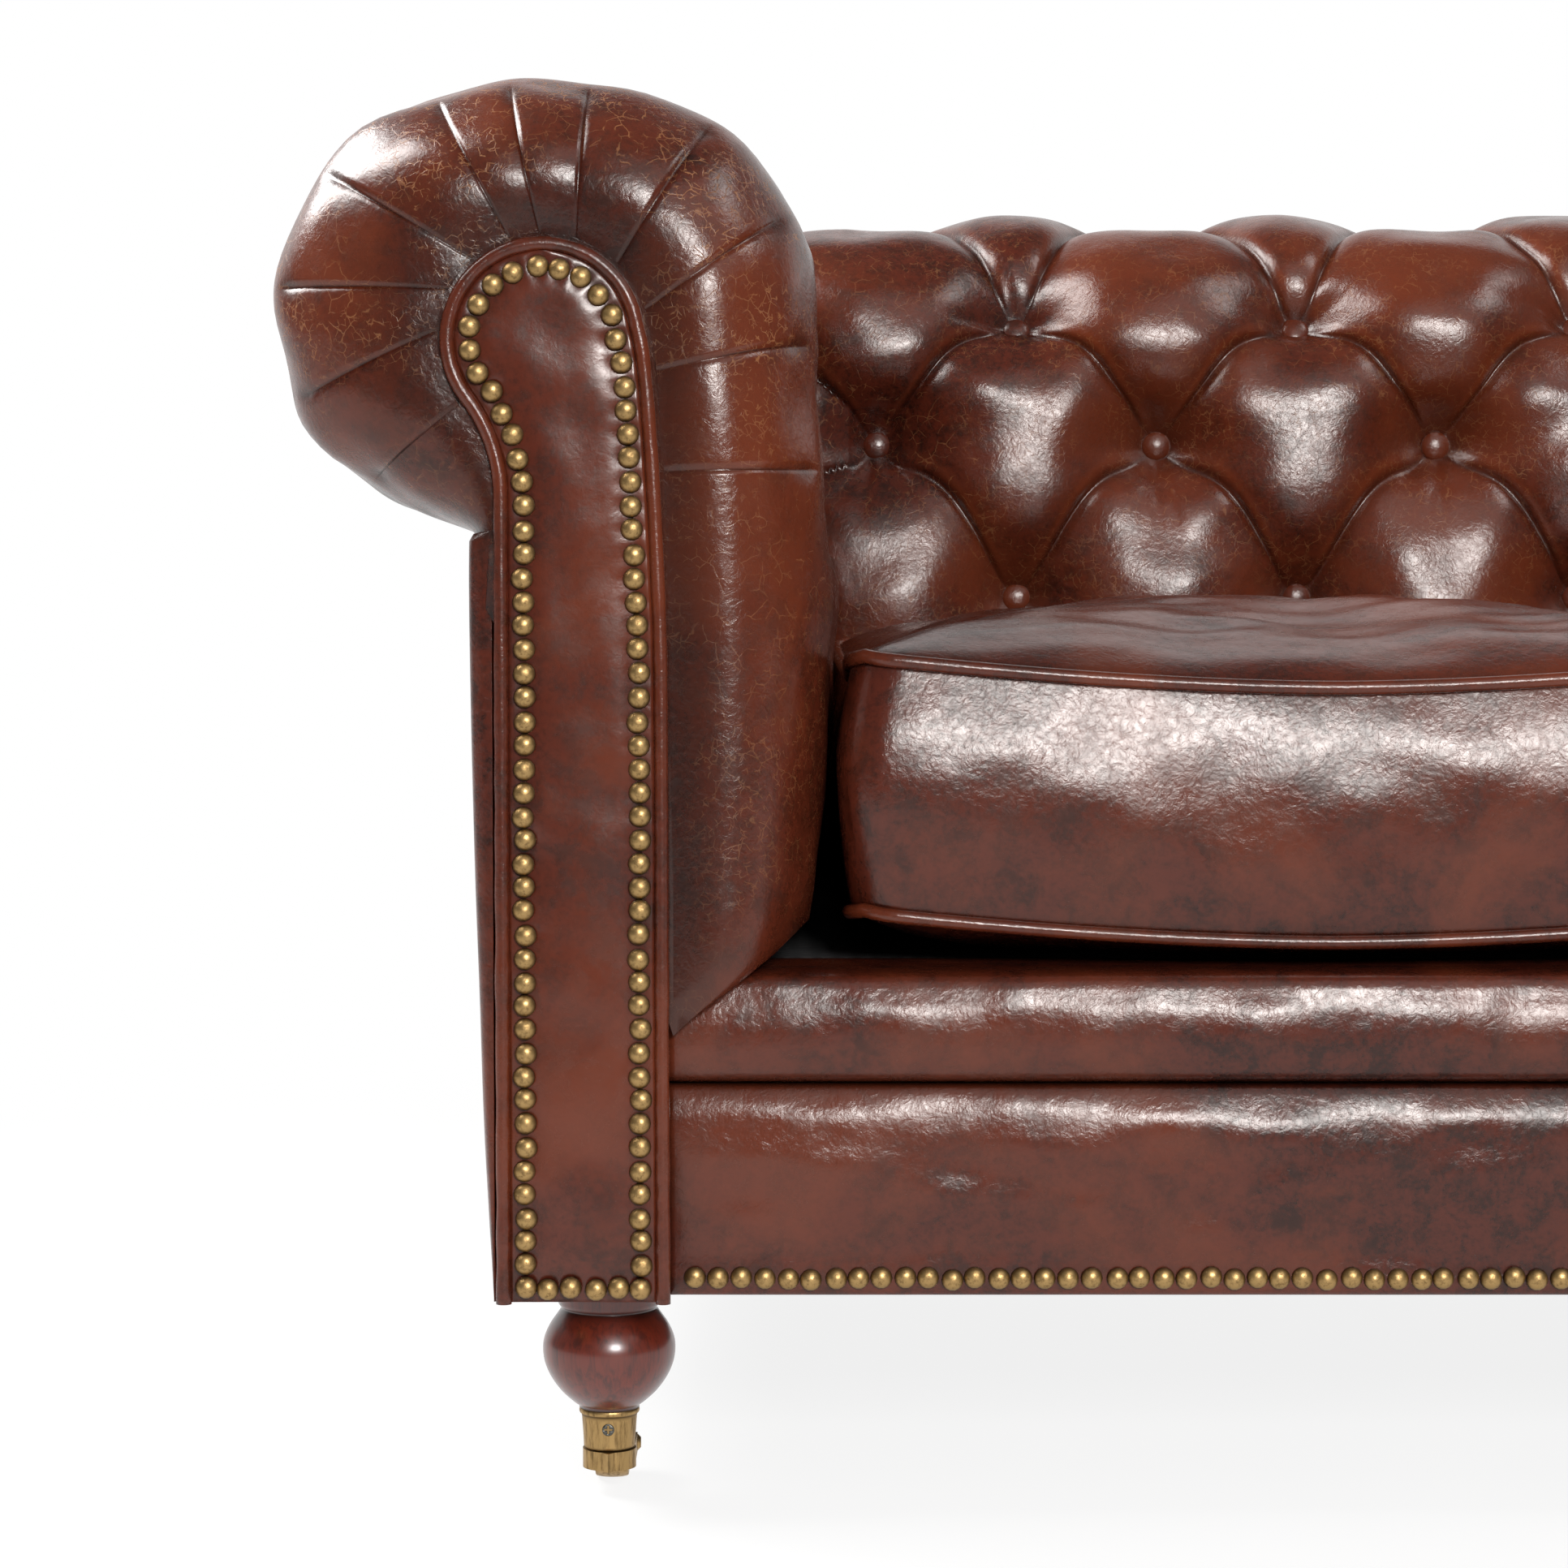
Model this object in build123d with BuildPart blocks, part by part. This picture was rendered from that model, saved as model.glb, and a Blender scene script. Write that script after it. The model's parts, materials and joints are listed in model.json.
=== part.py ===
"""Two-seat leather sofa with rolled arms, a deep-buttoned back and brass castors.

Millimetres, +Z up, front towards -Y, origin on the floor under the middle of the sofa's box.

The arms and the back share one section. It is drawn in two coordinates: p runs from the
section's centre line towards the seat, and z runs up from the floor. Along the arms a place is
given by its depth behind the front facings, and along the back by its X.
"""
from build123d import *
from math import asin, atan2, cos, degrees, hypot, pi, radians, sin, sqrt, tan
import os

os.makedirs("parts", exist_ok=True)

# Seat and body sizes
tuft_pitch = 198.0          # between neighbouring buttons of one row
back_spans = 5              # tuft pitches between the end buttons of the back's second row
corner_margin = 40.5        # from the last button to the fullest line of the next side
seat_depth = 649.0          # from the facings to the fullest line of the back
section_fullness = 131.0    # from the section's centre line to its fullest line at the seat
leg_height = 120.0          # from the floor to the underside of the rails
leather_drop = 3.0          # how far the leather hangs below the rails
clearance = 0.3             # between soft pieces and what they lie against

# Seat frame
rail_thickness = 28.0
rail_height = 142.0
rail_round = 3.0            # rounding of the front rail's upper edges
front_rail_thickness = 24.0
front_rail_depth = 32.0     # from the facings to the front rail
frame_half_width = 45.0     # from the section's centre line to the outside of the rails
block_size = 50.0
block_height = 110.0
strap_count = 8
strap_width = 50.0
strap_pitch = 135.0
strap_thickness = 2.0
deck_thickness = 26.0
deck_corner = 10.0
deck_margin = 35.0          # how far the deck runs under the fullest line of the pads
cover_thickness = 1.5       # of the black cloth under the seat
cover_hole_gap = 1.0        # between the cloth and a leg

# Section of the arms and the back
seat_row_rise = 367.0       # first button row above the rails' underside
waist_row_rise = 475.0      # second row
waist_inset = 9.0           # how far the second row stands back from the fullest line
seam_rise = 434.0           # level seam on the inside of the arm's front
seam_inset = 12.0
foot_rise = 188.0           # lower edge of the pads
foot_inset = 10.0
tack_rise = 402.0           # tack line under the roll on the outside
tack_overhang = 15.0        # of the tack line beyond the rails
roll_centre_p = -22.0
roll_centre_rise = 520.0    # above the rails' underside
roll_side = 145.0           # half width of the roll
roll_top = 122.0            # from the roll's centre to its crown
shoulder_angle = 20.0       # third button row on the roll, in degrees from level
crown_angle = 100.0         # fourth button row
over_angle = 113.0          # where the tufts end behind the crown
outer_angle = 175.0         # outermost part of the roll
under_angle = 216.0         # where the roll turns in to the tack line
pit_depth = 28.0            # of a button below the crest of its row
fold_depth = 12.0           # of the folds halfway between two buttons
button_radius = 10.0
button_height = 9.0
button_sides = 8
button_taper = 35.0         # degrees, slope of a button's domed top
fold_swell = 0.2            # share of the pit's depth that a row stands below its crest at a fold

# Front facings
facing_head_p = -17.0       # of the round head's centre
facing_head_rise = 502.0
facing_head_radius = 51.0
facing_ogee_radius = 80.0
facing_foot = 46.0          # p of the facing's inner lower corner
facing_thickness = 6.0
piping_diameter = 8.0
front_band_depth = 100.0    # of the pleated front behind the facing
pleat_count = 10
pleat_first_angle = -7.0    # about the roll's centre
pleat_last_angle = 223.0
pleat_swirl = 10.0          # how far a pleat turns between the roll and the facing
pleat_depth = 5.0

# Inner frame of the arms and the back
roll_rail_flat = 37.0       # from the head's centre to the flat under the roll rail
tack_rail_height = 45.0
liner_thickness = 6.0
upright_width = 44.0
upright_shares = (0.34, 0.66)  # places of the arm uprights along the arm
outside_bulge = 4.0

# Front border, lip and their nails
border_rise = 110.0         # seam between the border and the lip
border_face = 20.0          # depth of the border's face behind the facings
border_bulge = 8.0
nail_strip = 24.0
lip_drop = 1.0              # of the lip's top below the deck's
lip_width = 62.0
lip_bulge = 9.0
lip_shoulder = 20.0         # from the border's face back to the lip's top
lip_slope = 3.0             # how far the lip's top falls to the front
lip_nose_share = 0.42       # height of the lip's fullest line, as a share of its height
nail_radius = 5.7
nail_rise = 4.5
nail_sides = 6
nail_taper = 30.0           # degrees, slope of a nail's rounded head
nail_pitch = 12.4
nail_margin = 7.5           # from the facing's edge to the middle of a nail
front_nail_height = 9.0     # above the lower edge of the border

# Cushions
cushion_gap = 3.0
cushion_side_gap = 2.5      # between a cushion and the fullest line of an arm
cushion_front = 34.0        # depth of its front seam
cushion_back_gap = 4.0
cushion_foot = 18.0         # from the deck to the lower seam
cushion_tuck = 38.0         # from the lower seam in to the level underside
cushion_tuck_share = 0.3    # share of the tuck at half the foot's height
cushion_band = 132.0        # between the two seams
cushion_crown = 46.0        # above the upper seam
crown_reach = 200.0         # from the upper seam in to the level top
cushion_corner = 42.0
cushion_least_corner = 6.0  # of the inner layers
cushion_draw = 7.0          # how far a side draws in between its corners
cushion_bulge = 9.0         # of the band
cushion_piping = 7.6

# Legs and castors
leg_inset = 11.0            # p of the leg's axis
leg_depth = 68.0            # depth of the front legs' axis
leg_neck_radius = 27.5
leg_neck_height = 18.0
leg_groove = 2.0            # turned groove under the neck
leg_neck_bulge = 1.0
leg_bulb_radius = 36.0
leg_bulb_drop = 40.0        # from the rails to the widest part of the bulb
leg_shoulder_radius = 16.5
bolt_radius = 4.0
bolt_length = 95.0
bolt_in_leg = 35.0
bolt_clearance = 0.15
cup_height = 22.0
cup_floor = 3.5
cup_floor_z = 25.0
cup_foot_radius = 14.0
cup_top_radius = 15.2
cup_rim_radius = 16.4
cup_rim_height = 3.0
cup_wall = 2.6
tenon_clearance = 0.15
screw_head_radius = 3.3
screw_radius = 1.8
screw_length = 10.0
screw_stand = 0.8
screw_share = 0.55          # height of the screw on the cup
pivot_radius = 4.0
pivot_head_radius = 6.5
pivot_head_height = 1.6
pivot_clearance = 0.2
pivot_room = 1.0            # between the pivot's head and the tenon
swivel_gap = 0.5
horn_radius = 14.5
horn_height = 10.0
horn_rib = 3.5
wheel_radius = 19.0
wheel_width = 18.0
wheel_crown = 1.2
wheel_trail = 34.5
wheel_side_gap = 0.6
wheel_front_gap = 0.7
axle_radius = 3.0
axle_clearance = 0.15
rivet_radius = 4.6
rivet_top_radius = 2.8
rivet_height = 1.8
wheel_hub_wall = 4.0
wheel_rim_wall = 3.0
wheel_recess = 2.0
cheek_thickness = 4.2
cheek_end_radius = 5.5

# Worked-out lines
seat_width = back_spans * tuft_pitch + 2 * corner_margin
arm_line = seat_width / 2 + section_fullness
back_line = seat_depth + section_fullness
base_z = leg_height
rail_top = base_z + rail_height
hem_z = base_z - leather_drop
deck_bottom = rail_top + strap_thickness
deck_top = deck_bottom + deck_thickness
roll_p, roll_z = roll_centre_p, base_z + roll_centre_rise
head_p, head_z = facing_head_p, base_z + facing_head_rise
front_y = (nail_rise - back_line + roll_p - roll_side) / 2
back_y = front_y + back_line
tack_z = base_z + tack_rise
foot_z = base_z + foot_rise
foot_p = section_fullness - foot_inset
tail_z = deck_bottom + clearance
half_pitch = tuft_pitch / 2


def arm_plane(depth, side=-1):
    """Plane across an arm at a depth behind the facings; its x is p and its y is z."""
    if side < 0:
        return Plane((-arm_line, front_y + depth, 0), x_dir=(1, 0, 0), z_dir=(0, -1, 0))
    return Plane((arm_line, front_y + depth, 0), x_dir=(-1, 0, 0), z_dir=(0, 1, 0))


def back_plane(x):
    """Plane across the back at X; its x is p and its y is z."""
    return Plane((x, back_y, 0), x_dir=(0, -1, 0), z_dir=(-1, 0, 0))


def mitre_plane(side):
    """Upright plane at 45 degrees through a rear corner, where arm and back meet."""
    return Plane((side * arm_line, back_y, 0), x_dir=(-side, -1, 0), z_dir=(-1, side, 0))


def roll_point(angle, below=0.0):
    """Point of the roll's outline at an angle about its centre, some way below the surface."""
    reach = roll_side - (roll_side - roll_top) * abs(sin(radians(angle))) ** 3 - below
    return (roll_p + reach * cos(radians(angle)), roll_z + reach * sin(radians(angle)))


def between(a, b, share):
    """Point between a and b."""
    return (a[0] + share * (b[0] - a[0]), a[1] + share * (b[1] - a[1]))


def draw_outline(start, pieces, stretch=1.0):
    """Closed face from a start point and pieces (middle or None, end), with p stretched."""
    def spot(point):
        return (point[0] * stretch, point[1])

    with BuildLine() as outline:
        here = start
        for middle, end in pieces + [(None, start)]:
            if middle is None:
                Line(spot(here), spot(end))
            else:
                ThreePointArc(spot(here), spot(middle), spot(end))
            here = end
    make_face(outline.edges())


# Button rows: a crest point, and the level or sloping direction that the row faces
seat_crest = (section_fullness, base_z + seat_row_rise)
waist_crest = (section_fullness - waist_inset, base_z + waist_row_rise)
rows = {
    "seat": (seat_crest, 0.0),
    "waist": (waist_crest, 0.0),
    "shoulder": (roll_point(shoulder_angle), shoulder_angle),
    "crown": (roll_point(crown_angle), crown_angle),
}
even_rows = ("seat", "shoulder")
odd_rows = ("waist", "crown")


def pit(row, along=0.0, depth=pit_depth):
    """Point in a row's pit, some way along the section."""
    (p, z), angle = rows[row]
    c, s = cos(radians(angle)), sin(radians(angle))
    return (p - depth * c - along * s, z - depth * s + along * c)


def fold(lower, upper):
    """Point of the fold halfway between two rows."""
    angle = (rows[lower][1] + rows[upper][1]) / 2
    if lower == "shoulder":
        return roll_point(angle, fold_depth)
    crest = between(rows[lower][0], rows[upper][0], 0.5)
    return (crest[0] - fold_depth * cos(radians(angle)), crest[1] - fold_depth * sin(radians(angle)))


# Named points of the section, from the seat over the roll to the tack line
foot = (foot_p, foot_z)
low_full = (section_fullness, base_z + seat_row_rise - tuft_pitch / 4)
low_bow = (section_fullness + 1, (foot_z + low_full[1]) / 2)
far_angle = (over_angle + outer_angle) / 2
far_over = roll_point(far_angle)
under_roll = roll_point(under_angle, below=5)
tack = (-frame_half_width - tack_overhang, tack_z)
back_edge = [(None, (-frame_half_width + 5, tack_z)), (None, (frame_half_width - 6, tail_z))]


def tuft_pieces(kind):
    """Outer edge of the tufted section at one place along it, as pieces for draw_outline.

    Even places have buttons in the seat and shoulder rows, odd places in the waist and crown
    rows. A row without a button bulges to its crest between the pits of its neighbours. Halfway
    between the places every row bulges a little between two folds.
    """
    outer, over = roll_point(outer_angle), roll_point(over_angle)
    half = button_radius + 1
    if kind == "even":
        corners = [pit("seat", -half), pit("seat", half), pit("shoulder", -half),
                   pit("shoulder", half), over, outer, tack]
        middles = [low_bow, None, rows["waist"][0], None,
                   roll_point(crown_angle - 20), far_over, under_roll]
    elif kind == "odd":
        corners = [low_full, pit("waist", -half), pit("waist", half), pit("crown", -half),
                   pit("crown", half), roll_point(outer_angle, 5), tack]
        middles = [low_bow, seat_crest, None, roll_point((shoulder_angle + crown_angle) / 2.4),
                   None, roll_point(far_angle, 6), roll_point(under_angle, 9)]
    elif kind == "fold":
        corners = [between(low_full, pit("seat"), 0.4), fold("seat", "waist"),
                   fold("waist", "shoulder"), fold("shoulder", "crown"),
                   roll_point(over_angle, fold_depth / 2), roll_point(outer_angle, 2), tack]
        middles = [low_bow, between(seat_crest, pit("seat"), fold_swell),
                   between(waist_crest, pit("waist"), fold_swell),
                   roll_point(shoulder_angle + 8, fold_swell * pit_depth),
                   roll_point(crown_angle - 10, fold_swell * pit_depth),
                   roll_point(far_angle, 2), roll_point(under_angle, 6)]
    else:
        middle_waist = between(seat_crest, waist_crest, 0.5)
        corners = [low_full, middle_waist, roll_point(shoulder_angle / 2),
                   roll_point((shoulder_angle + crown_angle) / 2), over, outer, tack]
        middles = [low_bow, seat_crest, waist_crest, roll_point(shoulder_angle + 17),
                   roll_point(crown_angle - 14), far_over, under_roll]
    return list(zip(middles, corners)) + back_edge


def tuft_section(plane, kind, stretch=1.0):
    """Sketch of the tufted section on a plane."""
    with BuildSketch(plane) as section:
        draw_outline(foot, tuft_pieces(kind), stretch)
    return section.sketch


def facing_points(inset):
    """Corner points and arc centres of the facing's outline, moved inwards by an inset."""
    ogee_p = -frame_half_width - facing_ogee_radius
    reach = facing_head_radius + facing_ogee_radius
    ogee_z = head_z - sqrt(reach ** 2 - (head_p - ogee_p) ** 2)
    turn = degrees(atan2(head_z - ogee_z, head_p - ogee_p))
    run = hypot(facing_foot - head_p, head_z - hem_z)
    lean = degrees(atan2(hem_z - head_z, facing_foot - head_p)) + 90
    lean -= degrees(asin(facing_head_radius / run))
    return (ogee_p, ogee_z), facing_ogee_radius + inset, turn, facing_head_radius - inset, lean


def inner_edge_p(z, inset=0.0):
    """p of the facing's straight inner edge at a height."""
    _, _, _, head_radius, lean = facing_points(inset)
    side = (head_p + head_radius * cos(radians(lean)), head_z + head_radius * sin(radians(lean)))
    return side[0] + (side[1] - z) * tan(radians(lean))


def facing_line(inset, bottom, closed=True):
    """Line of the facing: up the outer edge, round the head and down the inner edge."""
    ogee, ogee_radius, turn, head_radius, lean = facing_points(inset)
    outer_p = -frame_half_width + inset
    side = (head_p + head_radius * cos(radians(lean)), head_z + head_radius * sin(radians(lean)))
    inner_foot = (inner_edge_p(bottom, inset), bottom)
    with BuildLine() as line:
        Line((outer_p, bottom), (outer_p, ogee[1]))
        CenterArc(ogee, ogee_radius, 0, turn)
        CenterArc((head_p, head_z), head_radius, turn + 180, lean - turn - 180)
        Line(side, inner_foot)
        if closed:
            Line(inner_foot, (outer_p, bottom))
    return line


def finish(part, label):
    """Label a piece and write it."""
    part.label = label
    export_step(part, f"parts/{label}.step")


# Seat frame
with BuildPart() as front_rail:
    half_run = arm_line + frame_half_width - rail_thickness
    with BuildSketch(Plane.XY.offset(base_z)):
        with Locations((0, front_y + front_rail_depth + front_rail_thickness / 2)):
            Rectangle(2 * half_run, front_rail_thickness)
    extrude(amount=rail_height)
    top_edges = front_rail.edges().filter_by(Axis.X).group_by(Axis.Z)[-1]
    fillet(top_edges, rail_round)
finish(front_rail.part, "front_rail")

with BuildPart() as back_rail:
    with BuildSketch(Plane.XY.offset(base_z)):
        with Locations((0, back_y + frame_half_width - rail_thickness / 2)):
            Rectangle(2 * half_run, rail_thickness)
    extrude(amount=rail_height)
finish(back_rail.part, "back_rail")

side_rail_length = back_line + frame_half_width - front_rail_depth
for side, name in ((-1, "left"), (1, "right")):
    with BuildPart() as side_rail:
        with BuildSketch(Plane.XY.offset(base_z)):
            with Locations((side * (arm_line + frame_half_width - rail_thickness / 2),
                            front_y + front_rail_depth + side_rail_length / 2)):
                Rectangle(rail_thickness, side_rail_length)
        extrude(amount=rail_height)
    finish(side_rail.part, f"side_rail_{name}")

front_leg_y = front_y + leg_depth
rear_leg_y = back_y - leg_inset
leg_x = arm_line - leg_inset
leg_spots = [(side * leg_x, y) for y in (front_leg_y, rear_leg_y) for side in (-1, 1)]
leg_names = ("front_left", "front_right", "rear_left", "rear_right")

with BuildPart() as corner_blocks:
    block_x = arm_line + frame_half_width - rail_thickness - block_size / 2
    front_block_y = front_y + front_rail_depth + front_rail_thickness + block_size / 2
    rear_block_y = back_y + frame_half_width - rail_thickness - block_size / 2
    block_spots = [(side * block_x, y) for y in (front_block_y, rear_block_y) for side in (-1, 1)]
    with BuildSketch(Plane.XY.offset(base_z)):
        with Locations(*block_spots):
            Rectangle(block_size, block_size)
        with Locations(*leg_spots):
            Circle(bolt_radius + bolt_clearance, mode=Mode.SUBTRACT)
    extrude(amount=block_height)
finish(corner_blocks.part, "corner_blocks")

with BuildPart() as seat_webbing:
    strap_front = front_y + front_rail_depth
    strap_back = back_y + frame_half_width
    with BuildSketch(Plane.XY.offset(rail_top)):
        with Locations((0, (strap_front + strap_back) / 2)):
            with GridLocations(strap_pitch, 0, strap_count, 1):
                Rectangle(strap_width, strap_back - strap_front)
    extrude(amount=strap_thickness)
finish(seat_webbing.part, "seat_webbing")

lip_back = front_y + front_rail_depth + lip_width
deck_half = seat_width / 2 + deck_margin
deck_back = front_y + seat_depth + deck_margin
with BuildPart() as seat_deck:
    with BuildSketch(Plane.XY.offset(deck_bottom)):
        with Locations((0, (lip_back + clearance + deck_back) / 2)):
            Rectangle(2 * deck_half, deck_back - lip_back - clearance)
    extrude(amount=deck_thickness)
    fillet(seat_deck.edges().filter_by(Axis.Z), deck_corner)
finish(seat_deck.part, "seat_deck")

with BuildPart() as dust_cover:
    cover_front = front_y + front_rail_depth
    cover_back = back_y + frame_half_width
    with BuildSketch(Plane.XY.offset(base_z - cover_thickness)):
        with Locations((0, (cover_front + cover_back) / 2)):
            Rectangle(2 * (arm_line + frame_half_width), cover_back - cover_front)
        with Locations(*leg_spots):
            Circle(leg_neck_radius + cover_hole_gap, mode=Mode.SUBTRACT)
    extrude(amount=cover_thickness)
finish(dust_cover.part, "dust_cover")


# Inner frame of the arms and the back: the same sections run along the arms and the back and
# are mitred at the rear corners
roll_rail_radius = facing_head_radius - clearance
liner_low = deck_bottom + clearance
liner_reach = inner_edge_p(head_z, liner_thickness) - head_p
liner_high = head_z - sqrt(roll_rail_radius ** 2 - liner_reach ** 2)


def roll_rail_face():
    """Round rail inside the roll, flat below."""
    drop = degrees(asin(roll_rail_flat / roll_rail_radius))
    with BuildLine() as outline:
        arc = CenterArc((head_p, head_z), roll_rail_radius, -drop, 180 + 2 * drop)
        Line(arc @ 1, arc @ 0)
    make_face(outline.edges())


def tack_rail_face():
    """Rail that the roll's leather and the outside panel are tacked to."""
    with Locations((-frame_half_width + rail_thickness / 2, tack_z)):
        Rectangle(rail_thickness, tack_rail_height)


def liner_face():
    """Thin board behind the inside padding, along the facing's straight inner edge."""
    with BuildLine() as outline:
        Polyline((inner_edge_p(liner_low, clearance), liner_low),
                 (inner_edge_p(liner_high, clearance), liner_high),
                 (inner_edge_p(liner_high, liner_thickness), liner_high),
                 (inner_edge_p(liner_low, liner_thickness), liner_low), close=True)
    make_face(outline.edges())


def outside_face():
    """Padded panel on the outside, from the hem to the tack line under the roll."""
    inner = -frame_half_width - clearance
    low, high = hem_z, tack_z - clearance
    with BuildLine() as outline:
        Line((inner, low), (inner, high))
        Line((inner, high), (tack[0], high))
        SagittaArc((tack[0], high), (inner - leather_drop, low), -outside_bulge)
        Line((inner - leather_drop, low), (inner, low))
    make_face(outline.edges())


run_length = back_line + roll_side - roll_p


def run_along_arm(face_maker, side, start):
    """Prism of a section along one arm, from a depth to the mitre at the rear corner."""
    with BuildPart() as run:
        with BuildSketch(arm_plane(start, side)):
            face_maker()
        extrude(amount=side * (run_length - start))
        corner = mitre_plane(side).offset(clearance / 2 if side < 0 else -clearance / 2)
        split(bisect_by=corner, keep=Keep.TOP if side < 0 else Keep.BOTTOM)
    return run.part


def run_along_back(face_maker):
    """Prism of a section along the back, from mitre to mitre."""
    with BuildPart() as run:
        with BuildSketch(back_plane(0)):
            face_maker()
        extrude(amount=run_length, both=True)
        split(bisect_by=mitre_plane(-1).offset(-clearance / 2), keep=Keep.BOTTOM)
        split(bisect_by=mitre_plane(1).offset(clearance / 2), keep=Keep.TOP)
    return run.part


def frame_hollow(plane):
    """Room for the frame inside the padding: the facing's outline, run through the whole length."""
    with BuildPart() as hollow:
        with BuildSketch(plane):
            make_face(facing_line(-clearance, base_z).edges())
        extrude(amount=run_length, both=True)
    return hollow.part


post_back = front_rail_depth
for side, name in ((-1, "left"), (1, "right")):
    finish(run_along_arm(roll_rail_face, side, post_back), f"arm_roll_rail_{name}")
    finish(run_along_arm(liner_face, side, post_back), f"arm_liner_{name}")
    finish(run_along_arm(outside_face, side, facing_thickness), f"arm_outside_{name}")
finish(run_along_back(roll_rail_face), "back_roll_rail")
finish(run_along_back(tack_rail_face), "back_tack_rail")
finish(run_along_back(liner_face), "back_liner")
finish(run_along_back(outside_face), "back_outside")

with BuildPart() as arm_tack_rails:
    for side in (-1, 1):
        add(run_along_arm(tack_rail_face, side, post_back))
finish(arm_tack_rails.part, "arm_tack_rails")


def draw_upright():
    """Upright that joins the seat rail, the tack rail, the roll rail and the liner."""
    outer_p = -frame_half_width + rail_thickness
    top = head_z - roll_rail_flat
    edge = liner_thickness + clearance
    with BuildLine() as outline:
        Polyline((outer_p, base_z), (outer_p, top), (inner_edge_p(top, edge), top),
                 (inner_edge_p(rail_top, edge), rail_top), (inner_edge_p(rail_top, edge), base_z),
                 close=True)
    make_face(outline.edges())


with BuildPart() as arm_uprights:
    for side in (-1, 1):
        for share in upright_shares:
            with BuildSketch(arm_plane(share * back_line, side)):
                draw_upright()
            extrude(amount=upright_width / 2, both=True)
finish(arm_uprights.part, "arm_uprights")

with BuildPart() as back_posts:
    for x in (-2 * strap_pitch, 0, 2 * strap_pitch):
        with BuildSketch(back_plane(x)):
            draw_upright()
        extrude(amount=upright_width / 2, both=True)
finish(back_posts.part, "back_posts")

# Front of the arms: post, facing, piping and nails
front_plane = Plane((0, front_y, 0), x_dir=(1, 0, 0), z_dir=(0, -1, 0))
nail_inset = piping_diameter + nail_margin
with BuildPart() as nail:
    with BuildSketch():
        RegularPolygon(nail_radius, nail_sides)
    extrude(amount=nail_rise, taper=nail_taper)
for side, name in ((-1, "left"), (1, "right")):
    with BuildPart() as arm_post:
        with BuildSketch(arm_plane(facing_thickness, side)):
            make_face(facing_line(clearance, base_z).edges())
        extrude(amount=side * (post_back - facing_thickness))
    finish(arm_post.part, f"arm_post_{name}")

    with BuildPart() as arm_facing:
        with BuildSketch(arm_plane(0, side)):
            make_face(facing_line(piping_diameter + clearance, hem_z).edges())
        extrude(amount=side * facing_thickness)
    finish(arm_facing.part, f"arm_facing_{name}")

    piping_plane = arm_plane(facing_thickness - piping_diameter / 2 - clearance / 2, side)
    with BuildPart() as facing_piping:
        cord = facing_line(piping_diameter / 2 + clearance / 4, hem_z, closed=False)
        path = piping_plane.from_local_coords(cord.wire())
        with BuildSketch(Plane(path @ 0, z_dir=path % 0)):
            Circle(piping_diameter / 2 - clearance / 4)
        sweep(path=path)
    finish(facing_piping.part, f"facing_piping_{name}")

    nail_foot = hem_z + nail_margin
    edge = facing_line(nail_inset, nail_foot, closed=False).wire()
    edge_count = round(edge.length / nail_pitch)
    spots = [edge @ (i / edge_count) for i in range(edge_count + 1)]
    foot_run = spots[-1] - spots[0]
    foot_count = round(foot_run.length / nail_pitch)
    spots += [spots[0] + foot_run * (i / foot_count) for i in range(1, foot_count)]
    with BuildPart(front_plane) as facing_nails:
        with Locations(*[(side * (arm_line - spot.X), spot.Y) for spot in spots]):
            add(nail.part)
    finish(facing_nails.part, f"facing_nails_{name}")


# Pleated front of the arms: pleats run from the facing's edge over the front of the roll
def pleat_ends(angle):
    """A pleat's inner end at the facing and its outer end on the roll."""
    turn = radians(angle - pleat_swirl)
    inner = (head_p + facing_head_radius * cos(turn), head_z + facing_head_radius * sin(turn))
    return inner, roll_point(angle)


def band_section(depth, share, pinch):
    """Section of the pleated front where it has grown to a share of the roll's size."""
    step = (pleat_last_angle - pleat_first_angle) / (pleat_count - 1)
    seam_z = base_z + seam_rise
    seam = (section_fullness - seam_inset, seam_z)
    angles = [pleat_first_angle + i * step for i in range(pleat_count)]
    lower = between((inner_edge_p(tail_z), tail_z), foot, share)
    seam_now = between((inner_edge_p(seam_z), seam_z), seam, share)
    seat_now = between((inner_edge_p(seat_crest[1]), seat_crest[1]), seat_crest, share)
    pieces = [(between(between(lower, seam_now, 0.5), seat_now, 0.75), seam_now)]
    first_swell = between(between(seam, roll_point(pleat_first_angle), 0.5), seat_crest, 0.06)
    pieces.append((between((inner_edge_p(first_swell[1]), first_swell[1]), first_swell, share),
                   between(*pleat_ends(angles[0]), share)))
    for angle in angles[1:]:
        swell = between(*pleat_ends(angle - step / 2), share)
        inner, outer = pleat_ends(angle)
        crease = between(inner, outer, share)
        reach = hypot(crease[0] - head_p, crease[1] - head_z)
        crease = between(crease, (head_p, head_z), pinch / reach)
        pieces.append((swell, crease))
    tack_now = between((-frame_half_width, tack_z), tack, share)
    last_swell = between(between(*pleat_ends(pleat_last_angle), share), tack_now, 0.5)
    pieces.append((between(last_swell, (roll_p, roll_z), -0.06 * share), tack_now))
    with BuildSketch(arm_plane(depth)) as section:
        draw_outline(lower, pieces + back_edge)
    return section.sketch


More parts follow.
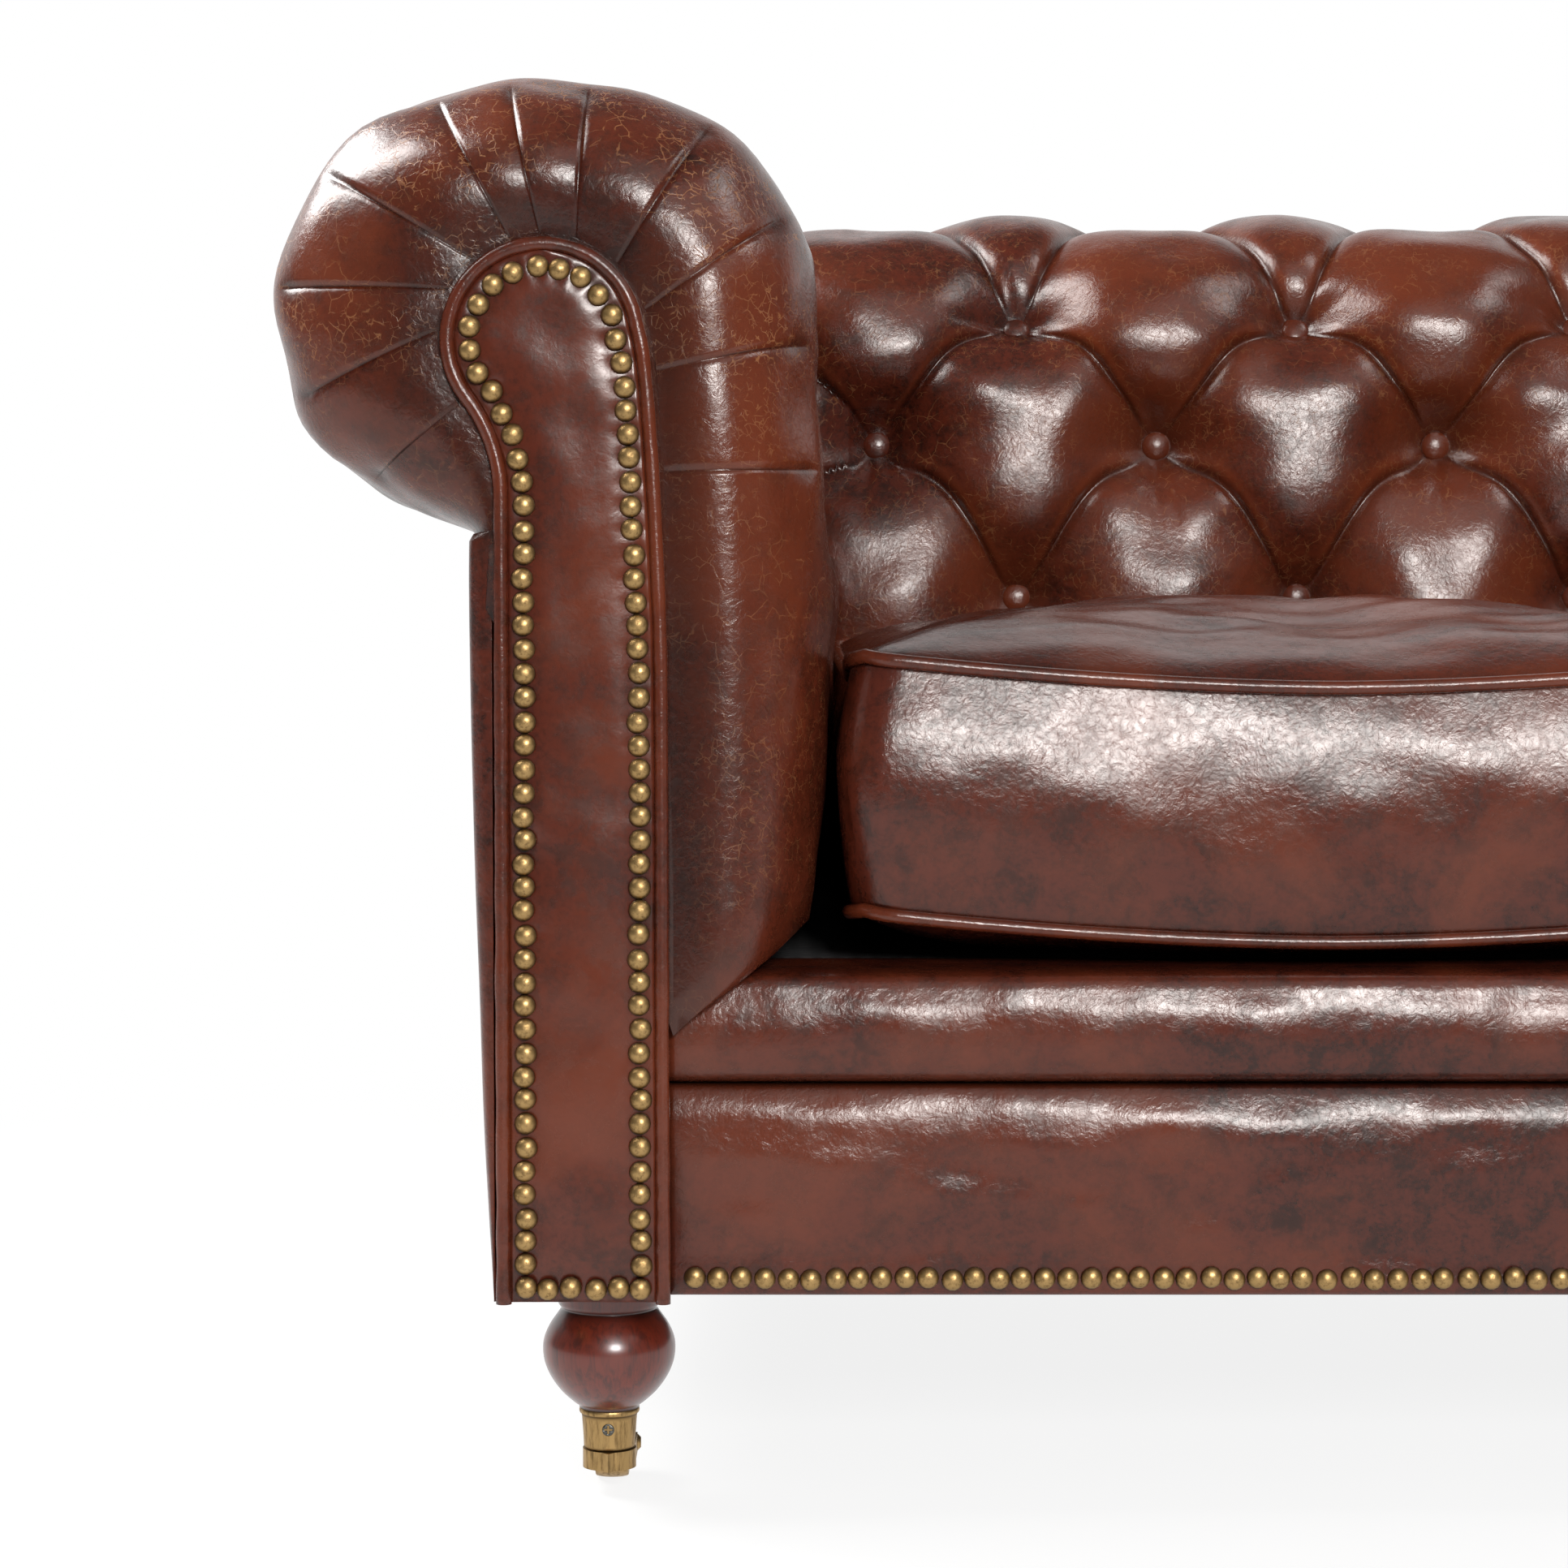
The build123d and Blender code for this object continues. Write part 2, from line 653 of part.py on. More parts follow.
band_stations = ((1.0, 0.16, 0.0), (6.0, 0.40, 0.5), (18.0, 0.66, 0.9), (40.0, 0.90, 1.0),
                 (70.0, 0.99, 0.7), (front_band_depth, 1.0, 0.1))
with BuildPart() as arm_front_left:
    loft(sections=[band_section(depth, share, pinch * pleat_depth)
                   for depth, share, pinch in band_stations], ruled=True)
    add(frame_hollow(arm_plane(0)), mode=Mode.SUBTRACT)
finish(arm_front_left.part, "arm_front_left")
with BuildPart() as arm_front_right:
    mirror(arm_front_left.part, about=Plane.YZ)
finish(arm_front_right.part, "arm_front_right")

# Tufted padding of the arms and the back
last_button = seat_depth - corner_margin
arm_spans = int((last_button - front_band_depth - half_pitch / 2) / tuft_pitch)
arm_odd_depths = [last_button - tuft_pitch * i for i in range(arm_spans, -1, -1)]
arm_even_depths = [depth - half_pitch for depth in arm_odd_depths[1:]]
arm_places = [(depth, "odd") for depth in arm_odd_depths]
arm_places += [(depth, "even") for depth in arm_even_depths]
first_button = arm_odd_depths[0]
arm_places += [(first_button + half_pitch * (i + 0.5), "fold") for i in range(2 * arm_spans)]
arm_places += [(front_band_depth + clearance, "plain"), (first_button - half_pitch / 2, "fold")]
with BuildPart() as arm_pad_left:
    stations = [tuft_section(arm_plane(depth), kind) for depth, kind in sorted(arm_places)]
    loft(sections=stations + [tuft_section(mitre_plane(-1), "plain", sqrt(2))], ruled=True)
    add(frame_hollow(arm_plane(0)), mode=Mode.SUBTRACT)
finish(arm_pad_left.part, "arm_pad_left")
with BuildPart() as arm_pad_right:
    mirror(arm_pad_left.part, about=Plane.YZ)
finish(arm_pad_right.part, "arm_pad_right")

back_odd = [half_pitch * i for i in range(-back_spans, back_spans + 1, 2)]
back_even = [x + half_pitch for x in back_odd[:-1]]
back_places = [(x, "odd") for x in back_odd] + [(x, "even") for x in back_even]
back_places += [(back_odd[0] + half_pitch * (i + 0.5), "fold") for i in range(2 * back_spans)]
with BuildPart() as back_pad:
    stations = [tuft_section(back_plane(x), kind) for x, kind in sorted(back_places)]
    ends = [tuft_section(mitre_plane(side), "plain", sqrt(2)) for side in (-1, 1)]
    loft(sections=ends[:1] + stations + ends[1:], ruled=True)
    add(frame_hollow(back_plane(0)), mode=Mode.SUBTRACT)
finish(back_pad.part, "back_pad")


# Buttons, pulled down into the pits
button_lift = button_radius * (1 - fold_swell) * pit_depth / (half_pitch / 2) + clearance


def button_plane(place_plane, row):
    """Plane of a button's seat: in the pit of its row, facing as the row faces."""
    angle = rows[row][1]
    p, z = pit(row, depth=pit_depth - button_lift)
    outwards = place_plane.x_dir * cos(radians(angle)) + Vector(0, 0, sin(radians(angle)))
    return Plane(place_plane.from_local_coords((p, z)), z_dir=outwards)


with BuildPart() as button:
    drum = button_height / 3
    with BuildSketch():
        RegularPolygon(button_radius, button_sides)
    extrude(amount=drum)
    with BuildSketch(Plane.XY.offset(drum)):
        RegularPolygon(button_radius, button_sides)
    extrude(amount=button_height - drum, taper=button_taper)


def make_buttons(planes):
    """Covered buttons in their seats."""
    with BuildPart() as buttons:
        with Locations(*planes):
            add(button.part)
    return buttons.part


arm_button_places = [(depth, row) for depth in arm_odd_depths for row in odd_rows]
arm_button_places += [(depth, row) for depth in arm_even_depths for row in even_rows]
for side, name in ((-1, "left"), (1, "right")):
    planes = [button_plane(arm_plane(depth, side), row) for depth, row in arm_button_places]
    finish(make_buttons(planes), f"arm_buttons_{name}")

back_button_places = [(x, row) for x in back_odd for row in odd_rows]
back_button_places += [(x, row) for x in back_even for row in even_rows]
finish(make_buttons([button_plane(back_plane(x), row) for x, row in back_button_places]),
       "back_buttons")

# Front border with its nails, and the padded lip above it
front_half = arm_line - facing_foot - clearance
side_section = Plane((0, front_y, 0), x_dir=(0, 1, 0), z_dir=(1, 0, 0))
border_top = base_z + border_rise
rail_front = front_rail_depth - clearance
strip_top = hem_z + nail_strip

with BuildPart() as front_border:
    with BuildSketch(side_section):
        with BuildLine():
            Line((border_face, hem_z), (border_face, strip_top))
            swell = (border_face - border_bulge, (strip_top + border_top) / 2)
            ThreePointArc((border_face, strip_top), swell, (border_face, border_top - clearance))
            Polyline((border_face, border_top - clearance), (rail_front, border_top - clearance),
                     (rail_front, hem_z), (border_face, hem_z))
        make_face()
    extrude(amount=front_half, both=True)
finish(front_border.part, "front_border")

nail_span = 2 * (front_half - nail_margin)
nail_count = int(nail_span / nail_pitch) + 1
with BuildPart(front_plane.offset(-border_face)) as front_nails:
    with Locations((0, hem_z + front_nail_height)):
        with GridLocations(nail_pitch, 0, nail_count, 1):
            add(nail.part)
finish(front_nails.part, "front_nails")

with BuildPart() as front_lip:
    lip_top = deck_top - lip_drop
    back_edge_depth = front_rail_depth + lip_width
    shoulder = (border_face + lip_shoulder, lip_top - lip_slope)
    with BuildSketch(side_section):
        with BuildLine():
            nose_z = border_top + lip_nose_share * (lip_top - border_top)
            nose = (border_face - lip_bulge, nose_z)
            ThreePointArc((border_face, border_top), nose, shoulder)
            crest = ((shoulder[0] + back_edge_depth) / 2, lip_top)
            ThreePointArc(shoulder, crest, (back_edge_depth, deck_top))
            Polyline((back_edge_depth, deck_top), (back_edge_depth, deck_bottom),
                     (rail_front, deck_bottom), (rail_front, border_top),
                     (border_face, border_top))
        make_face()
    extrude(amount=front_half, both=True)
    for side in (-1, 1):
        with BuildSketch(arm_plane(0, side)):
            with BuildLine():
                tail_p = back_edge[-1][1][0]
                Polyline((tail_p, tail_z - clearance), (foot_p, foot_z - clearance),
                         (foot_p, foot_z + lip_width), (tail_p, foot_z + lip_width), close=True)
            make_face()
        extrude(amount=back_edge_depth + lip_shoulder, both=True, mode=Mode.SUBTRACT)
finish(front_lip.part, "front_lip")


# Seat cushions: a boxed cushion with a crowned top and a piped seam above and below its band
cushion_width = seat_width / 2 - cushion_side_gap - cushion_gap / 2
cushion_back = seat_depth - cushion_back_gap - cushion_bulge
seam_half = (cushion_width / 2 - cushion_bulge, (cushion_back - cushion_front) / 2)
lower_seam = deck_top + cushion_foot
upper_seam = lower_seam + cushion_band


def cushion_line(centre, grow):
    """Plan outline of a cushion, grown or shrunk: sides that draw in, and tangent corners."""
    half_x, half_y = seam_half[0] + grow, seam_half[1] + grow
    radius = max(cushion_corner + grow, cushion_least_corner)
    lean = atan2(cushion_draw, half_x - radius)
    bend = radius / 2 * (1 - tan(pi / 8 + lean))
    x, y = centre
    with BuildLine() as outline:
        for along in ((1, 0), (0, 1), (-1, 0), (0, -1)):
            out = (along[1], -along[0])
            run, reach = (half_x, half_y) if along[0] else (half_y, half_x)
            draw = (run - radius) * tan(lean)

            def spot(a, b):
                return (x + a * along[0] + b * out[0], y + a * along[1] + b * out[1])

            ThreePointArc(spot(radius - run, reach), spot(0, reach - draw),
                          spot(run - radius, reach))
            ThreePointArc(spot(run - radius, reach), spot(run - bend, reach - bend),
                          spot(run, reach - radius))
    return outline


cushion_layers = [(deck_top + clearance, -cushion_tuck),
                  (deck_top + cushion_foot / 2, -cushion_tuck_share * cushion_tuck)]
cushion_layers += [(lower_seam + share * cushion_band, cushion_bulge * sin(pi * share))
                   for share in (0, 0.2, 0.5, 0.8, 1)]
cushion_layers += [(upper_seam + cushion_crown * sin(radians(turn)),
                    -crown_reach * (1 - cos(radians(turn)))) for turn in (24, 48, 70, 90)]
piping_radius = cushion_piping / 2
piping_stand = (piping_radius + clearance) * sqrt(0.5)
for side, name in ((-1, "left"), (1, "right")):
    centre = (side * (cushion_gap / 2 + cushion_width / 2),
              front_y + (cushion_front + cushion_back) / 2)
    with BuildPart() as cushion:
        layers = []
        for z, grow in cushion_layers:
            with BuildSketch(Plane.XY.offset(z)) as layer:
                make_face(cushion_line(centre, grow).edges())
            layers.append(layer.sketch)
        loft(sections=layers, ruled=True)
    finish(cushion.part, f"cushion_{name}")

    with BuildPart() as cushion_piping_loops:
        for z in (lower_seam - piping_stand, upper_seam + piping_stand):
            loop = Plane.XY.offset(z).from_local_coords(cushion_line(centre, piping_stand).wire())
            with BuildSketch(Plane(loop @ 0, z_dir=loop % 0)):
                Circle(piping_radius)
            sweep(path=loop)
    finish(cushion_piping_loops.part, f"cushion_piping_{name}")


# Legs: turned bun feet that end in a tenon for the castor cup
cup_rim_z = cup_floor_z + cup_height
tenon_radius = cup_top_radius - cup_wall - tenon_clearance
tenon_z = cup_floor_z + cup_floor + pivot_clearance + pivot_head_height + pivot_room
neck_z = base_z - leg_neck_height
screw_z = cup_floor_z + screw_share * cup_height


def upright_plane(spot):
    """Upright plane through a leg's axis; its x is the radius and its y is the height."""
    return Plane((spot[0], spot[1], 0), x_dir=(1, 0, 0), z_dir=(0, -1, 0))


def leg_axis(spot):
    """Axis of a leg, its cup and its castor's swivel."""
    return Axis((spot[0], spot[1], 0), (0, 0, 1))


with BuildPart() as legs:
    for spot in leg_spots:
        with BuildSketch(upright_plane(spot)):
            with BuildLine():
                hole_radius = bolt_radius + bolt_clearance
                hole_end = base_z - bolt_in_leg - bolt_clearance
                Polyline((0, tenon_z), (0, hole_end), (hole_radius, hole_end),
                         (hole_radius, base_z), (leg_neck_radius, base_z))
                neck_middle = (leg_neck_radius + leg_neck_bulge, base_z - leg_neck_height / 2)
                ThreePointArc((leg_neck_radius, base_z), neck_middle, (leg_neck_radius, neck_z))
                Polyline((leg_neck_radius, neck_z), (leg_neck_radius - leg_groove, neck_z - leg_groove / 2),
                         (leg_neck_radius, neck_z - leg_groove))
                ThreePointArc((leg_neck_radius, neck_z - leg_groove),
                              (leg_bulb_radius, base_z - leg_bulb_drop),
                              (leg_shoulder_radius, cup_rim_z + leg_groove))
                Polyline((leg_shoulder_radius, cup_rim_z + leg_groove),
                         (leg_shoulder_radius, cup_rim_z), (tenon_radius, cup_rim_z),
                         (tenon_radius, tenon_z), (0, tenon_z))
            make_face()
        revolve(axis=leg_axis(spot))
        with BuildSketch(upright_plane(spot)):
            with Locations((0, screw_z)):
                Circle(screw_radius + bolt_clearance)
        extrude(amount=cup_rim_radius, mode=Mode.SUBTRACT)
finish(legs.part, "legs")

with BuildPart() as leg_bolts:
    with BuildSketch(Plane.XY.offset(base_z - bolt_in_leg)):
        with Locations(*leg_spots):
            Circle(bolt_radius)
    extrude(amount=bolt_length)
finish(leg_bolts.part, "leg_bolts")

with BuildPart() as castor_cups:
    for spot in leg_spots:
        with BuildSketch(upright_plane(spot)):
            with BuildLine():
                bore = pivot_radius + pivot_clearance
                inner = tenon_radius + tenon_clearance
                rim_low = cup_rim_z - cup_rim_height
                Polyline((bore, cup_floor_z), (cup_foot_radius, cup_floor_z),
                         (cup_top_radius, rim_low))
                rim_middle = (cup_rim_radius, cup_rim_z - cup_rim_height / 2)
                ThreePointArc((cup_top_radius, rim_low), rim_middle, (cup_top_radius, cup_rim_z))
                Polyline((cup_top_radius, cup_rim_z), (inner, cup_rim_z),
                         (inner, cup_floor_z + cup_floor), (bore, cup_floor_z + cup_floor),
                         (bore, cup_floor_z))
            make_face()
        revolve(axis=leg_axis(spot))
        with BuildSketch(upright_plane(spot)):
            with Locations((0, screw_z)):
                Circle(screw_head_radius + bolt_clearance)
        extrude(amount=cup_rim_radius + 1, mode=Mode.SUBTRACT)
finish(castor_cups.part, "castor_cups")

with BuildPart() as castor_screws:
    head_face = cup_foot_radius + screw_stand + screw_share * (cup_top_radius - cup_foot_radius)
    for spot in leg_spots:
        with BuildSketch(upright_plane(spot).offset(tenon_radius + tenon_clearance)):
            with Locations((0, screw_z)):
                Circle(screw_head_radius)
        extrude(amount=head_face - tenon_radius - tenon_clearance)
        with BuildSketch(upright_plane(spot).offset(tenon_radius + tenon_clearance)):
            with Locations((0, screw_z)):
                Circle(screw_radius)
        extrude(amount=-screw_length)
finish(castor_screws.part, "castor_screws")

# Castors: a horn that swivels under the cup and carries the wheel behind it
horn_top = cup_floor_z - swivel_gap
slot_half = wheel_width / 2 + wheel_side_gap
fork_half = slot_half + cheek_thickness
for spot, name in zip(leg_spots, leg_names):
    x, y = spot
    axle_spot = (x, y + wheel_trail, wheel_radius)
    cross_plane = Plane(axle_spot, x_dir=(0, 1, 0), z_dir=(1, 0, 0))
    axle_axis = Axis(axle_spot, (1, 0, 0))

    with BuildPart() as fork:
        with BuildSketch(Plane.XY):
            with Locations((x, y)):
                Circle(horn_radius)
            with Locations((x, y + (wheel_trail + cheek_end_radius) / 2)):
                Rectangle(2 * fork_half, wheel_trail + cheek_end_radius)
            with BuildLine():
                rib_root = sqrt(horn_radius ** 2 - horn_rib ** 2)
                Polyline((x - horn_rib, y - rib_root), (x, y - horn_radius - horn_rib),
                         (x + horn_rib, y - rib_root), (x, y), close=True)
            make_face()
        extrude(amount=cup_floor_z)
        with BuildSketch(cross_plane):
            Circle(cheek_end_radius)
            with Locations((-wheel_trail, horn_top - wheel_radius - horn_height / 2)):
                Rectangle(2 * (horn_radius + horn_rib), horn_height)
            make_hull()
        extrude(amount=fork_half + 1, both=True, mode=Mode.INTERSECT)
        with BuildSketch(cross_plane):
            Circle(wheel_radius + wheel_front_gap)
        extrude(amount=slot_half, both=True, mode=Mode.SUBTRACT)
        with BuildSketch(cross_plane):
            Circle(axle_radius + axle_clearance)
        extrude(amount=fork_half + 1, both=True, mode=Mode.SUBTRACT)
        head_z_low = cup_floor_z + cup_floor + pivot_clearance
        with BuildSketch(Plane.XY.offset(horn_top - 1)):
            with Locations((x, y)):
                Circle(pivot_radius)
        extrude(amount=head_z_low - horn_top + 1)
        with BuildSketch(Plane.XY.offset(head_z_low)):
            with Locations((x, y)):
                Circle(pivot_head_radius)
        extrude(amount=pivot_head_height)
    finish(fork.part, f"castor_fork_{name}")

    with BuildPart() as axle:
        with BuildSketch(Plane(axle_spot, x_dir=(1, 0, 0), z_dir=(0, 0, 1))):
            with BuildLine():
                end = fork_half + axle_clearance
                tip = end + rivet_height
                Polyline((-tip, 0), (-tip, rivet_top_radius), (-end, rivet_radius),
                         (-end, axle_radius), (end, axle_radius), (end, rivet_radius),
                         (tip, rivet_top_radius), (tip, 0), (-tip, 0))
            make_face()
        revolve(axis=axle_axis)
    finish(axle.part, f"castor_axle_{name}")

    with BuildPart() as wheel:
        with BuildSketch(Plane(axle_spot, x_dir=(1, 0, 0), z_dir=(0, 0, 1))):
            with BuildLine():
                half = wheel_width / 2
                edge = wheel_radius - wheel_crown
                bore = axle_radius + axle_clearance
                hub = bore + wheel_hub_wall
                rim = edge - wheel_rim_wall
                recess = half - wheel_recess
                Polyline((0, bore), (half, bore), (half, hub), (recess, hub), (recess, rim),
                         (half, rim), (half, edge))
                tread = (0.6 * half, wheel_radius - 0.25 * wheel_crown)
                ThreePointArc((half, edge), tread, (0, wheel_radius))
                Line((0, wheel_radius), (0, bore))
            make_face()
        revolve(axis=axle_axis)
        mirror(about=Plane(axle_spot, z_dir=(1, 0, 0)))
    finish(wheel.part, f"castor_wheel_{name}")
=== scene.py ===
"""Leather sofa with rolled, pleated arms and a deep-buttoned back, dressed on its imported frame.

Lengths inside the shape functions are millimetres. The arms and the back share one section in two
coordinates: p runs from the section's centre line towards the seat, and z runs up from the floor.
Along an arm a place is its depth behind the front facings, and along the back it is its X.
"""
import functools
import json

import bmesh
import bpy
import numpy as np
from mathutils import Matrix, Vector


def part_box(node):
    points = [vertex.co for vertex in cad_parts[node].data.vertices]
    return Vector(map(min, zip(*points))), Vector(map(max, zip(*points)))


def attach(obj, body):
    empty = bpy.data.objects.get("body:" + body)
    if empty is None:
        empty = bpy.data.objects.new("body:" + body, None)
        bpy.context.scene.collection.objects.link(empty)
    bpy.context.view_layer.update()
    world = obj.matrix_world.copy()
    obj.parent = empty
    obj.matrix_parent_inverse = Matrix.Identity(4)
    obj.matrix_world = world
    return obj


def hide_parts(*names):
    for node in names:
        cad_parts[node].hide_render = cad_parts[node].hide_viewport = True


bl_info = {
    "name": "Buttoned Leather Sofa",
    "version": (1, 0, 0),
    "blender": (4, 5, 0),
    "location": "View3D > Sidebar > Sofa",
    "description": "Dresses the sofa's frame with leather, nails, turned feet and castors",
    "category": "Object",
}

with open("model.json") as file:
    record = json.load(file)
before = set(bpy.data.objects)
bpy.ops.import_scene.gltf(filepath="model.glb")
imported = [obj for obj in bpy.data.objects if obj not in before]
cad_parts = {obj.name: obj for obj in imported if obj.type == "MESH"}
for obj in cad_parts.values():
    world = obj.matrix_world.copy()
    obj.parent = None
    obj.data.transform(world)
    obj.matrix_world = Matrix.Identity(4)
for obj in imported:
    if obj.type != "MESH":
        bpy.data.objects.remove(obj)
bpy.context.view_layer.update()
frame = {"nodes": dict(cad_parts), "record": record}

MM = 0.001
HALF_WIDTH = 45.0                     # from the section's centre line to the outside of the rails
FRONT_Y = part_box("arm_facing_left")[0].y / MM
ARM_LINE = -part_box("side_rail_left")[0].x / MM - HALF_WIDTH
BACK_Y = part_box("back_rail")[1].y / MM - HALF_WIDTH
BACK_DEPTH = BACK_Y - FRONT_Y
HEM_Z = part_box("front_border")[0].z / MM
DECK_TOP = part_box("seat_deck")[1].z / MM
HALF_PITCH = 99.0                     # half the distance between two buttons of a row
MIDDLE_BUTTON = 410.5                 # depth of the arms' middle button of the second row
ROLL_P, ROLL_Z = -22.0, 640.0
ROLL_SIDE, ROLL_TOP = 145.0, 122.0
HEAD_P, HEAD_Z, HEAD_RADIUS = -19.3, 620.0, 53.2
OGEE_RADIUS = 80.0
FACING_FOOT = 46.0
TAIL_Z = 265.0
BORDER_FACE = 20.0                    # depth of the border's face behind the facings
BORDER_TOP = 230.0                    # height of the seam between the border and the lip
OUTSIDE_TOP = 521.0                   # height at which the outside panels meet the roll
NAIL_HEIGHT, NAIL_STEP = 4.4, 12.4
STEPS = 36                            # grid steps from one button column to the next
CORNER_STEPS = 70                     # grid steps from the last of these to a rear corner's mitre
SIDES = ((-1, "left"), (1, "right"))
LEGS = ("front_left", "front_right", "rear_left", "rear_right")


def linear(colour):
    """Linear RGB of an sRGB colour written as hex."""
    raw = np.array([int(colour[i:i + 2], 16) for i in (1, 3, 5)]) / 255
    return tuple(np.where(raw <= 0.04045, raw / 12.92, ((raw + 0.055) / 1.055) ** 2.4))


def colour_property(name, colour, about):
    """Colour setting with an sRGB hex default."""
    return bpy.props.FloatVectorProperty(name=name, description=about, subtype="COLOR", size=3,
                                         min=0, max=1, default=linear(colour))


def length_property(name, millimetres, about):
    """Length setting with a default in millimetres."""
    return bpy.props.FloatProperty(name=name, description=about, unit="LENGTH", min=0,
                                   default=millimetres * MM)


class SofaSizes(bpy.types.PropertyGroup):
    """Sizes of the soft and turned pieces that a user may change."""
    pit_depth: length_property("Button depth", 35, "How deep a button sits below the pillows")
    fold_depth: length_property("Fold depth", 17, "Depth of the folds halfway between buttons")
    fold_bow: bpy.props.FloatProperty(name="Fold bow", default=0.2, min=0, max=0.4,
                                      description="How far the folds bow upwards, in row steps")
    pleat_depth: length_property("Pleat depth", 2.0, "Depth of the pleats round the arm's front")
    pleat_swell: length_property("Pleat swell", 1.1, "How far the leather swells between pleats")
    nail_radius: length_property("Nail radius", 5.9, "Radius of the nails' domed heads")
    piping_radius: length_property("Piping radius", 4.0, "Radius of the facings' piping")
    cushion_crown: length_property("Cushion crown", 48, "Height of a cushion's top above its seam")
    corner_lift: length_property("Corner lift", 17, "How far a cushion's seams rise at its corners")


class SofaColours(bpy.types.PropertyGroup):
    """Colours of the finishes."""
    # leather_dark also gives the painted shade in folds, pits and seams, at 0.4 of its value
    leather_dark: colour_property("Leather, dark", "#210c07", "Dye left in hollows and mottling")
    leather_body: colour_property("Leather, body", "#491c11", "Main colour of the hide")
    # This colour also serves as the painted highlight along the lips of folds and pleats
    leather_rubbed_and_highlight: colour_property("Leather, rubbed", "#622b17", "Colour where the wax is rubbed")
    leather_crackle: colour_property("Leather, crackle", "#8f5f3a", "Bare hide in fine cracks")
    wax: colour_property("Wax", "#fffaf6", "Tint of the wax's gloss")
    brass: colour_property("Brass", "#b0905f", "Polished parts of the aged brass")
    brass_dark: colour_property("Brass, dark", "#3a2a1a", "Tarnish of the aged brass")
    leg: colour_property("Leg", "#5c1d0c", "Stained and varnished wood of the legs")
    leg_dark: colour_property("Leg, dark", "#260a05", "Darker grain of the legs")
    timber: colour_property("Frame wood", "#b58d5c", "Bare wood of the inner frame")
    lining: colour_property("Lining", "#1a1818", "Black cloth under the seat and cushions")
    floor: colour_property("Floor", "#f4f3f1", "Studio floor and wall")


# Materials


def add_node(tree, kind, output, inputs, **settings):
    """Add a node and give one of its outputs; an input is a value or another node's output."""
    new = tree.nodes.new("ShaderNode" + kind)
    for key, value in settings.items():
        setattr(new, key, value)
    for key, value in inputs.items():
        if isinstance(value, bpy.types.NodeSocket):
            tree.links.new(value, new.inputs[key])
        else:
            new.inputs[key].default_value = value
    return new.outputs[output] if new.outputs else new


def new_material(name):
    """Empty material, a way to add nodes to it and its object coordinates."""
    material = bpy.data.materials.new(name)
    material.use_nodes = True
    material.node_tree.nodes.clear()
    add = functools.partial(add_node, material.node_tree)
    return material, add, add("TexCoord", "Object", {})


def per_mm(size):
    """Scale of a pattern whose features are size millimetres wide."""
    return 1 / (size * MM)


def solid(colour):
    """Colour with full alpha."""
    return (*colour, 1.0)


